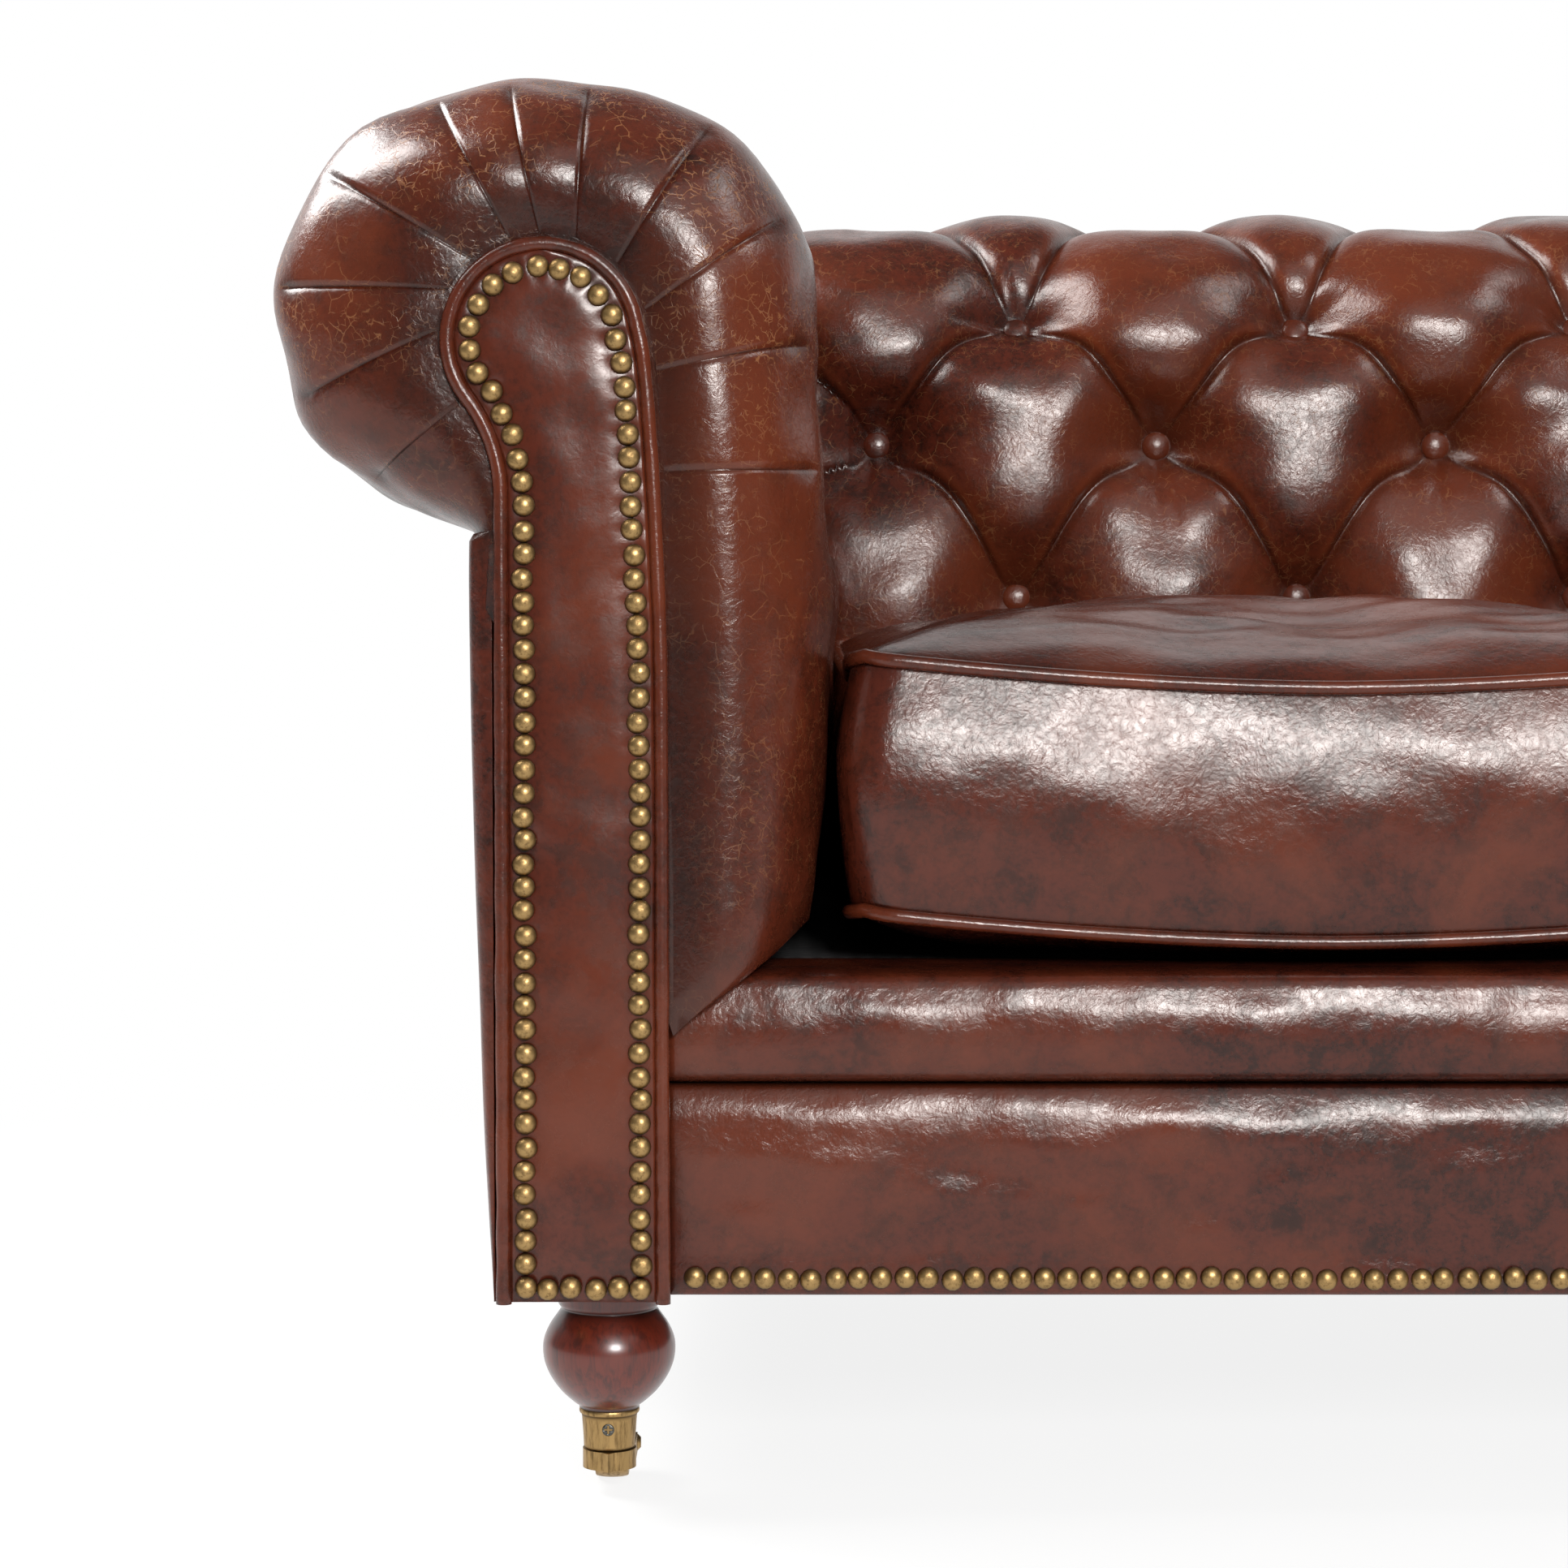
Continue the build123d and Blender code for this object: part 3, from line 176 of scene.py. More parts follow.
def waxed_leather(colours):
    """Waxed, hand-rubbed cowhide: red-brown dye, darker in fine mottling and lighter where hands
    wear it, pale hair cracks in the finish, a fine grain and a waxy gloss.

    Attributes of the mesh say where: the rub attribute lightens, for wear and as a painted highlight
    along the lips of folds and pleats; crease darkens with painted shade in folds, button pits,
    seams and tucks; age brings out hair cracks and taut smooths the wrinkles.
    """
    material, add, coords = new_material("waxed_antique_leather")
    dark = solid(colours.leather_dark)
    ease = {"interpolation_type": "SMOOTHSTEP"}
    rub_and_highlight, crease, age, taut = (add("Attribute", "Fac", {}, attribute_name=name)
                              for name in ("rub_and_highlight", "crease", "age", "taut"))
    cloud = add("TexNoise", "Fac", {"Vector": coords, "Scale": per_mm(150), "Detail": 5.0,
                                    "Roughness": 0.6, "Distortion": 0.5})
    mottle = add("TexNoise", "Fac", {"Vector": coords, "Scale": per_mm(16), "Detail": 7.0,
                                     "Roughness": 0.72, "Distortion": 0.4})
    speckle = add("TexNoise", "Fac", {"Vector": coords, "Scale": per_mm(3), "Detail": 3.0,
                                      "Roughness": 0.7})
    blend = add("Math", 0, {0: speckle, 1: 0.55, 2: mottle}, operation="MULTIPLY_ADD")
    share = add("MapRange", 0, {0: blend, 1: 0.63, 2: 0.98, 3: 0.0, 4: 0.95}, **ease)
    colour = add("Mix", 2, {0: share, 6: solid(colours.leather_body), 7: dark}, data_type="RGBA")
    worn = add("MapRange", 0, {0: cloud, 1: 0.42, 2: 0.66, 3: 0.0, 4: 0.65}, **ease)
    # Lighter for wear, and where the rub attribute marks the lips of folds and pleats, a painted
    # highlight
    worn = add("Math", 0, {0: rub_and_highlight, 1: 0.5, 2: worn}, operation="MULTIPLY_ADD", use_clamp=True)
    colour = add("Mix", 2, {0: worn, 6: colour, 7: solid(colours.leather_rubbed_and_highlight)}, data_type="RGBA")
    # Hair cracks: cell borders of 10 mm and 5 mm, bent by noise and broken into patches. Real ones
    # are 0.2 mm wide; they are drawn 0.6 mm wide so that they show
    drift = add("TexNoise", "Color", {"Vector": coords, "Scale": per_mm(12), "Detail": 4.0})
    bent = add("VectorMath", 0, {0: drift, 1: (0.007, 0.007, 0.007), 2: coords},
               operation="MULTIPLY_ADD")
    cracks = 0.0
    for size, width, low in ((10.0, 0.034, 0.36), (5.0, 0.055, 0.4)):
        edge = add("TexVoronoi", "Distance", {"Vector": bent, "Scale": per_mm(size)},
                   feature="DISTANCE_TO_EDGE")
        line = add("MapRange", 0, {0: edge, 1: 0.0, 2: width, 3: 1.0, 4: 0.0}, **ease)
        area = add("TexNoise", "Fac", {"Vector": coords, "Scale": per_mm(9 * size), "Detail": 3.0})
        area = add("MapRange", 0, {0: area, 1: low, 2: low + 0.22}, **ease)
        broken = add("TexNoise", "Fac", {"Vector": coords, "Scale": per_mm(size), "Detail": 2.0})
        broken = add("MapRange", 0, {0: broken, 1: 0.46, 2: 0.58}, **ease)
        line = add("Math", 0, {0: line, 1: area}, operation="MULTIPLY")
        line = add("Math", 0, {0: line, 1: broken}, operation="MULTIPLY")
        cracks = add("Math", 0, {0: cracks, 1: line}, operation="MAXIMUM")
    cracks = add("Math", 0, {0: cracks, 1: age}, operation="MULTIPLY")
    colour = add("Mix", 2, {0: cracks, 6: colour, 7: solid(colours.leather_crackle)},
                 data_type="RGBA")
    # Painted shade: where the crease attribute says, the colour darkens towards 0.4 of the dark dye,
    # in folds, button pits, seams and tucks
    share = add("Math", 0, {0: crease, 1: 0.8}, operation="MULTIPLY")
    shade = solid([0.4 * c for c in colours.leather_dark])
    colour = add("Mix", 2, {0: share, 6: colour, 7: shade}, data_type="RGBA")
    # Soft unevenness of the padding, wrinkles of 4.5 mm and pebble grain of 2 mm
    dents = add("TexNoise", "Fac", {"Vector": coords, "Scale": per_mm(38), "Detail": 2.0})
    bump = add("Bump", "Normal", {"Strength": 0.5, "Distance": 0.0012, "Height": dents})
    wrinkles = add("TexNoise", "Fac", {"Vector": bent, "Scale": per_mm(4.5), "Detail": 5.0,
                                       "Roughness": 0.62, "Distortion": 0.8})
    pebbles = add("TexVoronoi", "Distance", {"Vector": bent, "Scale": per_mm(2)},
                  feature="SMOOTH_F1")
    height = add("Math", 0, {0: pebbles, 1: -0.2, 2: wrinkles}, operation="MULTIPLY_ADD")
    height = add("Math", 0, {0: cracks, 1: -0.3, 2: height}, operation="MULTIPLY_ADD")
    strength = add("MapRange", 0, {0: taut, 1: 0.0, 2: 1.0, 3: 0.36, 4: 0.12})
    bump = add("Bump", "Normal", {"Strength": strength, "Distance": 0.0007, "Height": height,
                                  "Normal": bump})
    rough = add("MapRange", 0, {0: mottle, 1: 0.3, 2: 0.7, 3: 0.2, 4: 0.3}, **ease)
    rough = add("Math", 0, {0: cracks, 1: 0.2, 2: rough}, operation="MULTIPLY_ADD")
    surface = add("BsdfPrincipled", 0, {
        "Base Color": colour, "Roughness": rough, "IOR": 1.48, "Specular Tint": solid(colours.wax),
        "Normal": bump})
    add("OutputMaterial", 0, {"Surface": surface})
    return material


def aged_brass(colours, name, streak):
    """Stamped or cast brass with tarnish: bright where rubbed, dark in the edges. A streak over 1
    draws the tarnish out along the height."""
    material, add, coords = new_material(name)
    drawn = add("Mapping", 0, {"Vector": coords, "Scale": (1, 1, 1 / streak)})
    patch = add("TexNoise", "Fac", {"Vector": drawn, "Scale": per_mm(2.4), "Detail": 5.0,
                                    "Roughness": 0.7})
    tarnish = add("MapRange", 0, {0: patch, 1: 0.42, 2: 0.7, 3: 0.0, 4: 0.6},
                  interpolation_type="SMOOTHSTEP")
    edges = add("Attribute", "Fac", {}, attribute_name="crease")
    tarnish = add("Math", 0, {0: tarnish, 1: edges}, operation="MAXIMUM")
    colour = add("Mix", 2, {0: tarnish, 6: solid(colours.brass), 7: solid(colours.brass_dark)},
                 data_type="RGBA")
    pits = add("TexNoise", "Fac", {"Vector": drawn, "Scale": per_mm(1.2), "Detail": 3.0})
    bump = add("Bump", "Normal", {"Strength": 0.3, "Distance": 0.0003, "Height": pits})
    rough = add("MapRange", 0, {0: tarnish, 1: 0.0, 2: 0.7, 3: 0.38, 4: 0.6})
    surface = add("BsdfPrincipled", 0, {"Base Color": colour, "Metallic": 1.0, "Roughness": rough,
                                        "Normal": bump})
    add("OutputMaterial", 0, {"Surface": surface})
    return material


def varnished_wood(colours):
    """Turned hardwood, stained red-brown under gloss varnish: fine grain along the height."""
    material, add, coords = new_material("varnished_stained_wood")
    drawn = add("Mapping", 0, {"Vector": coords, "Scale": (1, 1, 0.08)})
    grain = add("TexNoise", "Fac", {"Vector": drawn, "Scale": per_mm(3), "Detail": 5.0,
                                    "Roughness": 0.65, "Distortion": 0.8})
    tone = add("MapRange", 0, {0: grain, 1: 0.4, 2: 0.7, 3: 0.0, 4: 0.7},
               interpolation_type="SMOOTHSTEP")
    edges = add("Attribute", "Fac", {}, attribute_name="crease")
    tone = add("Math", 0, {0: tone, 1: edges}, operation="MAXIMUM")
    colour = add("Mix", 2, {0: tone, 6: solid(colours.leg), 7: solid(colours.leg_dark)},
                 data_type="RGBA")
    surface = add("BsdfPrincipled", 0, {"Base Color": colour, "Roughness": 0.34, "IOR": 1.5,
                                        "Coat Weight": 0.6, "Coat Roughness": 0.2})
    add("OutputMaterial", 0, {"Surface": surface})
    return material


def planed_wood(colours):
    """Planed bare hardwood: pale with darker grain lines."""
    material, add, coords = new_material("planed_hardwood")
    drawn = add("Mapping", 0, {"Vector": coords, "Scale": (0.07, 0.07, 0.5)})
    grain = add("TexNoise", "Fac", {"Vector": drawn, "Scale": per_mm(4), "Detail": 5.0,
                                    "Distortion": 1.0})
    share = add("MapRange", 0, {0: grain, 1: 0.4, 2: 0.7, 3: 0.0, 4: 0.8})
    dark = solid([0.45 * c for c in colours.timber])
    colour = add("Mix", 2, {0: share, 6: solid(colours.timber), 7: dark}, data_type="RGBA")
    surface = add("BsdfPrincipled", 0, {"Base Color": colour, "Roughness": 0.62})
    add("OutputMaterial", 0, {"Surface": surface})
    return material


def woven_lining(colours):
    """Plain-woven black cloth: threads of 0.9 mm, drawn 1.8 mm wide so that they show."""
    material, add, coords = new_material("woven_black_lining")
    warp, weft = (add("TexWave", "Fac", {"Vector": coords, "Scale": per_mm(1.8) / 20,
                                         "Distortion": 0.6}, bands_direction=axis)
                  for axis in ("X", "Y"))
    weave = add("Math", 0, {0: warp, 1: weft}, operation="MULTIPLY")
    pale = solid([2.6 * c + 0.004 for c in colours.lining])
    colour = add("Mix", 2, {0: weave, 6: solid(colours.lining), 7: pale}, data_type="RGBA")
    bump = add("Bump", "Normal", {"Strength": 0.4, "Distance": 0.0006, "Height": weave})
    surface = add("BsdfPrincipled", 0, {"Base Color": colour, "Roughness": 0.9, "Normal": bump})
    add("OutputMaterial", 0, {"Surface": surface})
    return material


def plated_steel():
    """Zinc-plated steel of bolts and screws, dulled grey."""
    material, add, coords = new_material("zinc_plated_steel")
    tone = add("TexNoise", "Fac", {"Vector": coords, "Scale": per_mm(1.5), "Detail": 4.0})
    colour = add("Mix", 2, {0: tone, 6: solid(linear("#3a3936")), 7: solid(linear("#77746c"))},
                 data_type="RGBA")
    surface = add("BsdfPrincipled", 0, {"Base Color": colour, "Metallic": 1.0, "Roughness": 0.45})
    add("OutputMaterial", 0, {"Surface": surface})
    return material


def finish(name):
    """Material of that name, made when it is first asked for."""
    colours = bpy.context.scene.sofa_colours
    makers = {
        "waxed_antique_leather": lambda: waxed_leather(colours),
        "aged_brass_nails": lambda: aged_brass(colours, "aged_brass_nails", 1.0),
        "aged_brass_castors": lambda: aged_brass(colours, "aged_brass_castors", 7.0),
        "varnished_stained_wood": lambda: varnished_wood(colours),
        "planed_hardwood": lambda: planed_wood(colours),
        "woven_black_lining": lambda: woven_lining(colours),
        "zinc_plated_steel": plated_steel,
    }
    return bpy.data.materials.get(name) or makers[name]()


# Meshes


def place_lengths(line):
    """Length along a line of points, at each point."""
    return np.r_[0, np.cumsum(np.linalg.norm(np.diff(line, axis=0), axis=1))]


def points_at(line, run, places):
    """Points of a line at lengths along it."""
    return np.stack([np.interp(places, run, line[:, k]) for k in range(line.shape[1])], -1)


def even_line(line, count):
    """The same line as count points at even lengths along it."""
    run = place_lengths(line)
    return points_at(line, run, np.linspace(0, run[-1], count))


def nearest_place(line, run, point):
    """Length along a line at its point nearest to a given one."""
    return run[np.argmin(np.linalg.norm(line - np.asarray(point), axis=1))]


def smooth_line(points, fine=24):
    """Smooth line through points: on each span a cubic whose slope at a point is half the step
    from the point before to the point after."""
    knots = np.asarray(points, float)
    ends = np.vstack([2 * knots[0] - knots[1], knots, 2 * knots[-1] - knots[-2]])
    t = np.linspace(0, 1, fine, endpoint=False)[None, :, None]
    a, b, c, d = (ends[k:len(ends) - 3 + k, None] for k in range(4))
    line = 0.5 * (2 * b + (c - a) * t + (2 * a - 5 * b + 4 * c - d) * t ** 2
                  + (3 * b - a - 3 * c + d) * t ** 3)
    return np.vstack([line.reshape(-1, knots.shape[1]), knots[-1:]])


def smooth_step(value, low, high):
    """0 below low, 1 above high, and a smooth rise between."""
    t = np.clip((value - low) / (high - low), 0, 1)
    return t * t * (3 - 2 * t)


def bell(value, centre, width):
    """1 at the centre, fading to both sides as a bell curve of that width."""
    return np.exp(-((value - centre) / width) ** 2)


def soft_noise(x, y, size, seed, waves=14):
    """Smooth unevenness of about unit height: a sum of waves in seeded random directions."""
    rng = np.random.default_rng(seed)
    turn, phase = rng.uniform(0, 2 * np.pi, (2, waves))
    length = size * rng.uniform(0.6, 1.6, waves)
    angle = (np.multiply.outer(x, np.cos(turn) / length)
             + np.multiply.outer(y, np.sin(turn) / length)) * 2 * np.pi + phase
    return np.sin(angle).sum(-1) / np.sqrt(waves / 2)


def grid_faces(rows, cols, wrap_rows=False, wrap_cols=True, lean=None):
    """Faces of a grid of points. Where lean is given, each quad is cut into two triangles, along
    its rising diagonal where lean is true and its falling diagonal elsewhere."""
    i, j = np.meshgrid(np.arange(rows if wrap_rows else rows - 1),
                       np.arange(cols if wrap_cols else cols - 1), indexing="ij")
    k, m = (i + 1) % rows, (j + 1) % cols
    a, b, c, d = i * cols + j, i * cols + m, k * cols + m, k * cols + j
    if lean is None:
        return np.stack([a, b, c, d], -1).reshape(-1, 4).tolist()
    first = np.where(lean[..., None], np.stack([a, b, c], -1), np.stack([a, b, d], -1))
    second = np.where(lean[..., None], np.stack([a, c, d], -1), np.stack([b, c, d], -1))
    return np.concatenate([first.reshape(-1, 3), second.reshape(-1, 3)]).tolist()


def closed_faces(points, lean=None):
    """Faces of a grid whose rows are closed rings, with a cap on its first and on its last row."""
    rows, cols = points.shape[:2]
    caps = [list(range(cols))[::-1], list(range((rows - 1) * cols, rows * cols))]
    return grid_faces(rows, cols, lean=lean) + caps


def grid_border(rows, cols):
    """Indices of a grid's points once round its border."""
    return np.r_[np.arange(rows) * cols, (rows - 1) * cols + np.arange(1, cols),
                 np.arange(rows - 2, -1, -1) * cols + cols - 1, np.arange(cols - 2, 0, -1)]


def wall_faces(upper, lower):
    """Quads between two closed rings of points, each ring given by its indices."""
    return np.stack([upper, np.roll(upper, -1), np.roll(lower, -1), lower], -1).tolist()


def merged(shapes):
    """Several grids as one list of points and faces; each is closed by caps at its ends."""
    points, faces, count = [], [], 0
    for shape in shapes:
        faces += [[v + count for v in face] for face in closed_faces(shape)]
        points.append(shape.reshape(-1, 3))
        count += len(points[-1])
    return np.vstack(points), faces


def make_piece(name, points, faces, material, body, nodes, values=None):
    """Object of a mesh in millimetres: doubles merged, faces outwards, riding on a body, in place
    of nodes of the frame."""
    mesh = bpy.data.meshes.new(name)
    mesh.from_pydata((np.asarray(points).reshape(-1, 3) * MM).tolist(), [], faces)
    for key, array in (values or {}).items():
        layer = mesh.attributes.new(key, "FLOAT", "POINT")
        layer.data.foreach_set("value", np.clip(np.asarray(array, np.float32).ravel(), 0, 1))
    shell = bmesh.new()
    shell.from_mesh(mesh)
    bmesh.ops.remove_doubles(shell, verts=shell.verts, dist=0.00002)
    bmesh.ops.recalc_face_normals(shell, faces=shell.faces)
    shell.to_mesh(mesh)
    shell.free()
    mesh.polygons.foreach_set("use_smooth", np.ones(len(mesh.polygons), bool))
    mesh.materials.append(finish(material))
    piece = bpy.data.objects.new(name, mesh)
    bpy.context.scene.collection.objects.link(piece)
    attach(piece, body)
    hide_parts(*nodes)


def leather_piece(name, nodes, points, faces, values=None, fill=None, body="sofa"):
    """Piece in the leather finish."""
    make_piece(name, points, faces, "waxed_antique_leather", body, nodes, values)


def tube(path, radius, across, sides=12, closed=False):
    """Round tube along a path: a circle on two cross directions, one of them near the given one."""
    ahead = np.roll(path, -1, 0) - np.roll(path, 1, 0)
    if not closed:
        ahead[0], ahead[-1] = path[1] - path[0], path[-1] - path[-2]
    ahead /= np.linalg.norm(ahead, axis=1, keepdims=True)
    side = np.cross(ahead, np.asarray(across, float))
    side /= np.linalg.norm(side, axis=1, keepdims=True)
    top = np.cross(side, ahead)
    turn = np.linspace(0, 2 * np.pi, sides, endpoint=False)[None, :, None]
    reach = np.broadcast_to(radius, len(path))[:, None, None]
    return path[:, None] + reach * (side[:, None] * np.cos(turn) + top[:, None] * np.sin(turn))


def lathe(profile, centre, axis, sides=56):
    """Turned form: a profile of (radius, height) carried round an axis, 0 for X or 2 for Z."""
    turn = np.linspace(0, 2 * np.pi, sides, endpoint=False)[None, :]
    radius, height = np.asarray(profile, float)[:, :1], np.asarray(profile, float)[:, 1:]
    flat = [radius * np.cos(turn), radius * np.sin(turn)]
    lift = np.broadcast_to(height, flat[0].shape)
    parts = [lift, *flat] if axis == 0 else [*flat, lift]
    return np.stack(parts, -1) + np.asarray(centre, float)


def copies(shape, frames):
    """One shape repeated at places, each with two cross directions and an outward direction."""
    points, faces = shape
    points = np.asarray(points, float).reshape(-1, 3)
    spots = np.array([f[0] for f in frames])
    turns = np.array([np.stack(f[1:], 0) for f in frames])
    moved = np.einsum("nk,mkj->mnj", points, turns) + spots[:, None]
    count = len(points)
    all_faces = [[v + k * count for v in face] for k in range(len(frames)) for face in faces]
    return moved.reshape(-1, 3), all_faces


def dome(radius, height, sides, rings, drum=0.0):
    """Domed disc: rings of a quarter round on a short drum, closed below and above."""
    turn = np.linspace(0, np.pi / 2, rings + 1)[:-1]
    arc = np.stack([radius * np.cos(turn), drum + height * np.sin(turn)], -1)
    profile = np.vstack([[(radius * 0.96, 0)], arc])
    ring = lathe(profile, (0, 0, 0), 2, sides)
    points = np.vstack([ring.reshape(-1, 3), [(0, 0, drum + height)]])
    rows, last = len(profile), len(profile) * sides
    faces = grid_faces(rows, sides) + [list(range(sides))[::-1]]
    faces += [[last - sides + k, last - sides + (k + 1) % sides, last] for k in range(sides)]
    return points, faces


def arm_point(p, z, depth, side):
    """World place of a point of an arm."""
    p, z, depth = np.broadcast_arrays(p, z, depth)
    return np.stack([side * (ARM_LINE - p), FRONT_Y + depth, z], -1)


def back_point(p, z, x):
    """World place of a point of the back."""
    p, z, x = np.broadcast_arrays(p, z, x)
    return np.stack([x, BACK_Y - p, z], -1)


# The section shared by the arms and the back


def roll_point(degrees):
    """Points of the roll: an ellipse-like ring that is flatter towards its crown."""
    angle = np.radians(degrees)
    reach = ROLL_SIDE - (ROLL_SIDE - ROLL_TOP) * np.abs(np.sin(angle)) ** 3
    return np.stack([ROLL_P + reach * np.cos(angle), ROLL_Z + reach * np.sin(angle)], -1)


SECTION = smooth_line(np.vstack([
    [(39, TAIL_Z), (78, 285), (107, 300), (118, 310), (122.5, 332), (127.5, 380), (130.5, 440),
     (131, 487), (127.5, 543), (123, 595)], roll_point(np.arange(0, 201, 20)),
    [(-142, 567), (-125, 553), (-100, 537), (-62, 522)]]))
SECTION_RUN = place_lengths(SECTION)
SECTION_END = SECTION_RUN[-1]
# The covers' hidden side along the frame, from the roll's foot down
INSIDE = np.array([(-50, 518), (-40, 500), (-20, 440), (10, 350), (34, 275)], float)


def section_place(point):
    """Length along the section at its point nearest to a given one."""
    return nearest_place(SECTION, SECTION_RUN, point)


def section_at(place):
    """Points of the section and their outward directions at lengths along it."""
    step = 2.0
    here, below, above = (points_at(SECTION, SECTION_RUN, np.clip(place + k, 0, SECTION_END))
                          for k in (0, -step, step))
    along = above - below
    along /= np.linalg.norm(along, axis=-1, keepdims=True)
    return here, np.stack([along[..., 1], -along[..., 0]], -1)


# Lengths along the section at the four rows of buttons, numbered 0 to 3 from the lowest. The ends
# of the section get numbers of their own, so that a row number says where a point lies
ROW_PLACES = np.array([section_place(q) for q in
                       ((131, 487), (123, 595), roll_point(20.0), roll_point(100.0))])
LOW_ROW, HIGH_ROW = -2.4, 6.5
ROW_STEPS = np.r_[np.linspace(LOW_ROW, 0, 31)[:-1], np.arange(3 * STEPS + 1) / STEPS,
                  np.linspace(3, HIGH_ROW, 45)[1:]]


def row_place(row):
    """Length along the section at a button row, or between rows."""
    return np.interp(row, [LOW_ROW, 0, 1, 2, 3, HIGH_ROW], [0, *ROW_PLACES, SECTION_END])


def button_places(low, high):
    """Buttons as (column, row): on rows 1 and 3 every second column from low to high, and on rows 0
    and 2 the columns between."""
    outer = [(column, row) for column in range(low, high + 1, 2) for row in (1, 3)]
    return outer + [(column, row) for column in range(low + 1, high, 2) for row in (0, 2)]


ARM_BUTTONS = button_places(-1, 3)
BACK_BUTTONS = button_places(-5, 5)


def pillow(share, low=0.38, high=0.52):
    """Rise of a pillow from 0 at its lower fold to 1 at its fullest line and back to 0 at its upper
    fold: a product of two powers, steep below and gentle above, so that the pillow sags."""
    full = low / (low + high)
    share = np.clip(share, 1e-9, 1 - 1e-9)
    return (share / full) ** low * ((1 - share) / (1 - full)) ** high


def tufts(column, row, buttons, sizes, seed):
    """Deep buttoning: place along the section, height, painted shade in folds and pits, and
    lightening for wear and a painted highlight, at grid points.

    Folds run along the two diagonals through the buttons, where column plus row or column minus
    row is even. A point's height is minus the pit's depth at a button and minus the fold's depth
    at a fold, and the pillow function lifts it to a low crown in the middle. The rows bow upwards
    between the columns by a squared sine. Around each button seeded puckers run outwards.
    """
    column, row = np.broadcast_arrays(column, row)
    bow = sizes.fold_bow * np.sin(np.pi * column) ** 2
    bow = bow * smooth_step(row, -0.6, 0.2) * (1 - smooth_step(row, 2.6, 3.4))
    place = row_place(row + bow)
    held = np.clip(row, 0, 3)
    rising, falling = (column + held) / 2 % 1, (column - held) / 2 % 1
    lift = pillow(rising) * pillow(1 - falling)
    near = np.full(column.shape, 1e9)
    pucker = np.zeros(column.shape)
    rng = np.random.default_rng(seed)
    for button_column, button_row in buttons:
        across = (column - button_column) * HALF_PITCH
        along = place - ROW_PLACES[button_row]
        near = np.minimum(near, np.hypot(across, np.where(along < 0, 1.5, 1.0) * along))
        for turn in rng.uniform(0, 2 * np.pi, 9):
            ahead = across * np.cos(turn) + along * np.sin(turn)
            beside = along * np.cos(turn) - across * np.sin(turn)
            reach, width, deep = rng.uniform(28, 75), rng.uniform(3, 6), rng.uniform(0.5, 1.7)
            fade = smooth_step(ahead, 6, 16) * (1 - smooth_step(ahead, 0.4 * reach, reach))
            pucker -= deep * fade * bell(beside, 0, width)
    pit_floor, pit_slope, crown = 7.0, 26.0, 5.0
    open_up = 1 - np.exp(-(np.maximum(near - pit_floor, 0) / pit_slope) ** 1.25)
    ends = smooth_step(row, LOW_ROW, -0.5) * (1 - smooth_step(row, 3.3, HIGH_ROW - 0.6))
    fold_depth = sizes.fold_depth / MM * ends
    height = -(sizes.pit_depth / MM) * (1 - open_up) - fold_depth * open_up * (1 - lift)
    height = height + crown * lift * ends + pucker
    # Painted shade in the folds and round the buttons' pits
    to_fold = np.minimum.reduce([rising, 1 - rising, falling, 1 - falling])
    crease = np.maximum(0.8 * np.exp(-to_fold / 0.011) * ends, 0.9 * bell(near, 0, 14))
    # The lip just above a fold is lightened: wear, and a painted highlight along the fold's edge
    lip = bell(rising, 0.045, 0.02) + bell(1 - falling, 0.045, 0.02)
    rub_and_highlight = 0.25 * lift * smooth_step(near, 20, 70) + 0.8 * lip * ends * smooth_step(near, 12, 40)
    return place, height, crease, rub_and_highlight


def corner_pleats(column, gap, row, first):
    """Two soft pleats over the roll between the last button and the mitre, which no button holds:
    height and painted shade of bell-shaped hollows that fade near the mitre and down the outside."""
    over = smooth_step(row, 2.9, 3.5) * (1 - smooth_step(row, 5.0, HIGH_ROW - 0.4))
    over = over * smooth_step(gap, 6, 50)
    away = np.minimum(np.abs(column - first), np.abs(column - first - 0.95)) * HALF_PITCH
    return -7.0 * over * bell(away, 0, 12), 0.65 * over * bell(away, 0, 5)


def mitre_seam(gap):
    """Seam in a rear corner: height of a hollow that fades away from the mitre, and painted shade in
    it.
    """
    return -10.0 * np.exp(-gap / 12), 0.5 * np.exp(-gap / 3)


def tufted_faces(points, column):
    """Faces of a cover's grid. On its tufted side each quad is cut along the nearer fold."""
    rows, cols = points.shape[:2]
    mid_column = (column[1:, :-1] + column[:-1, :-1]) / 2
    held = np.clip((ROW_STEPS[1:] + ROW_STEPS[:-1]) / 2, 0, 3)
    to_rising, to_falling = (np.abs((v / 2 + 0.5) % 1 - 0.5)
                             for v in (mid_column + held, mid_column - held))
    lean = np.ones((rows - 1, cols), bool)
    lean[:, :len(ROW_STEPS) - 1] = to_falling < to_rising
    return closed_faces(points, lean)


# Outline of the front facings


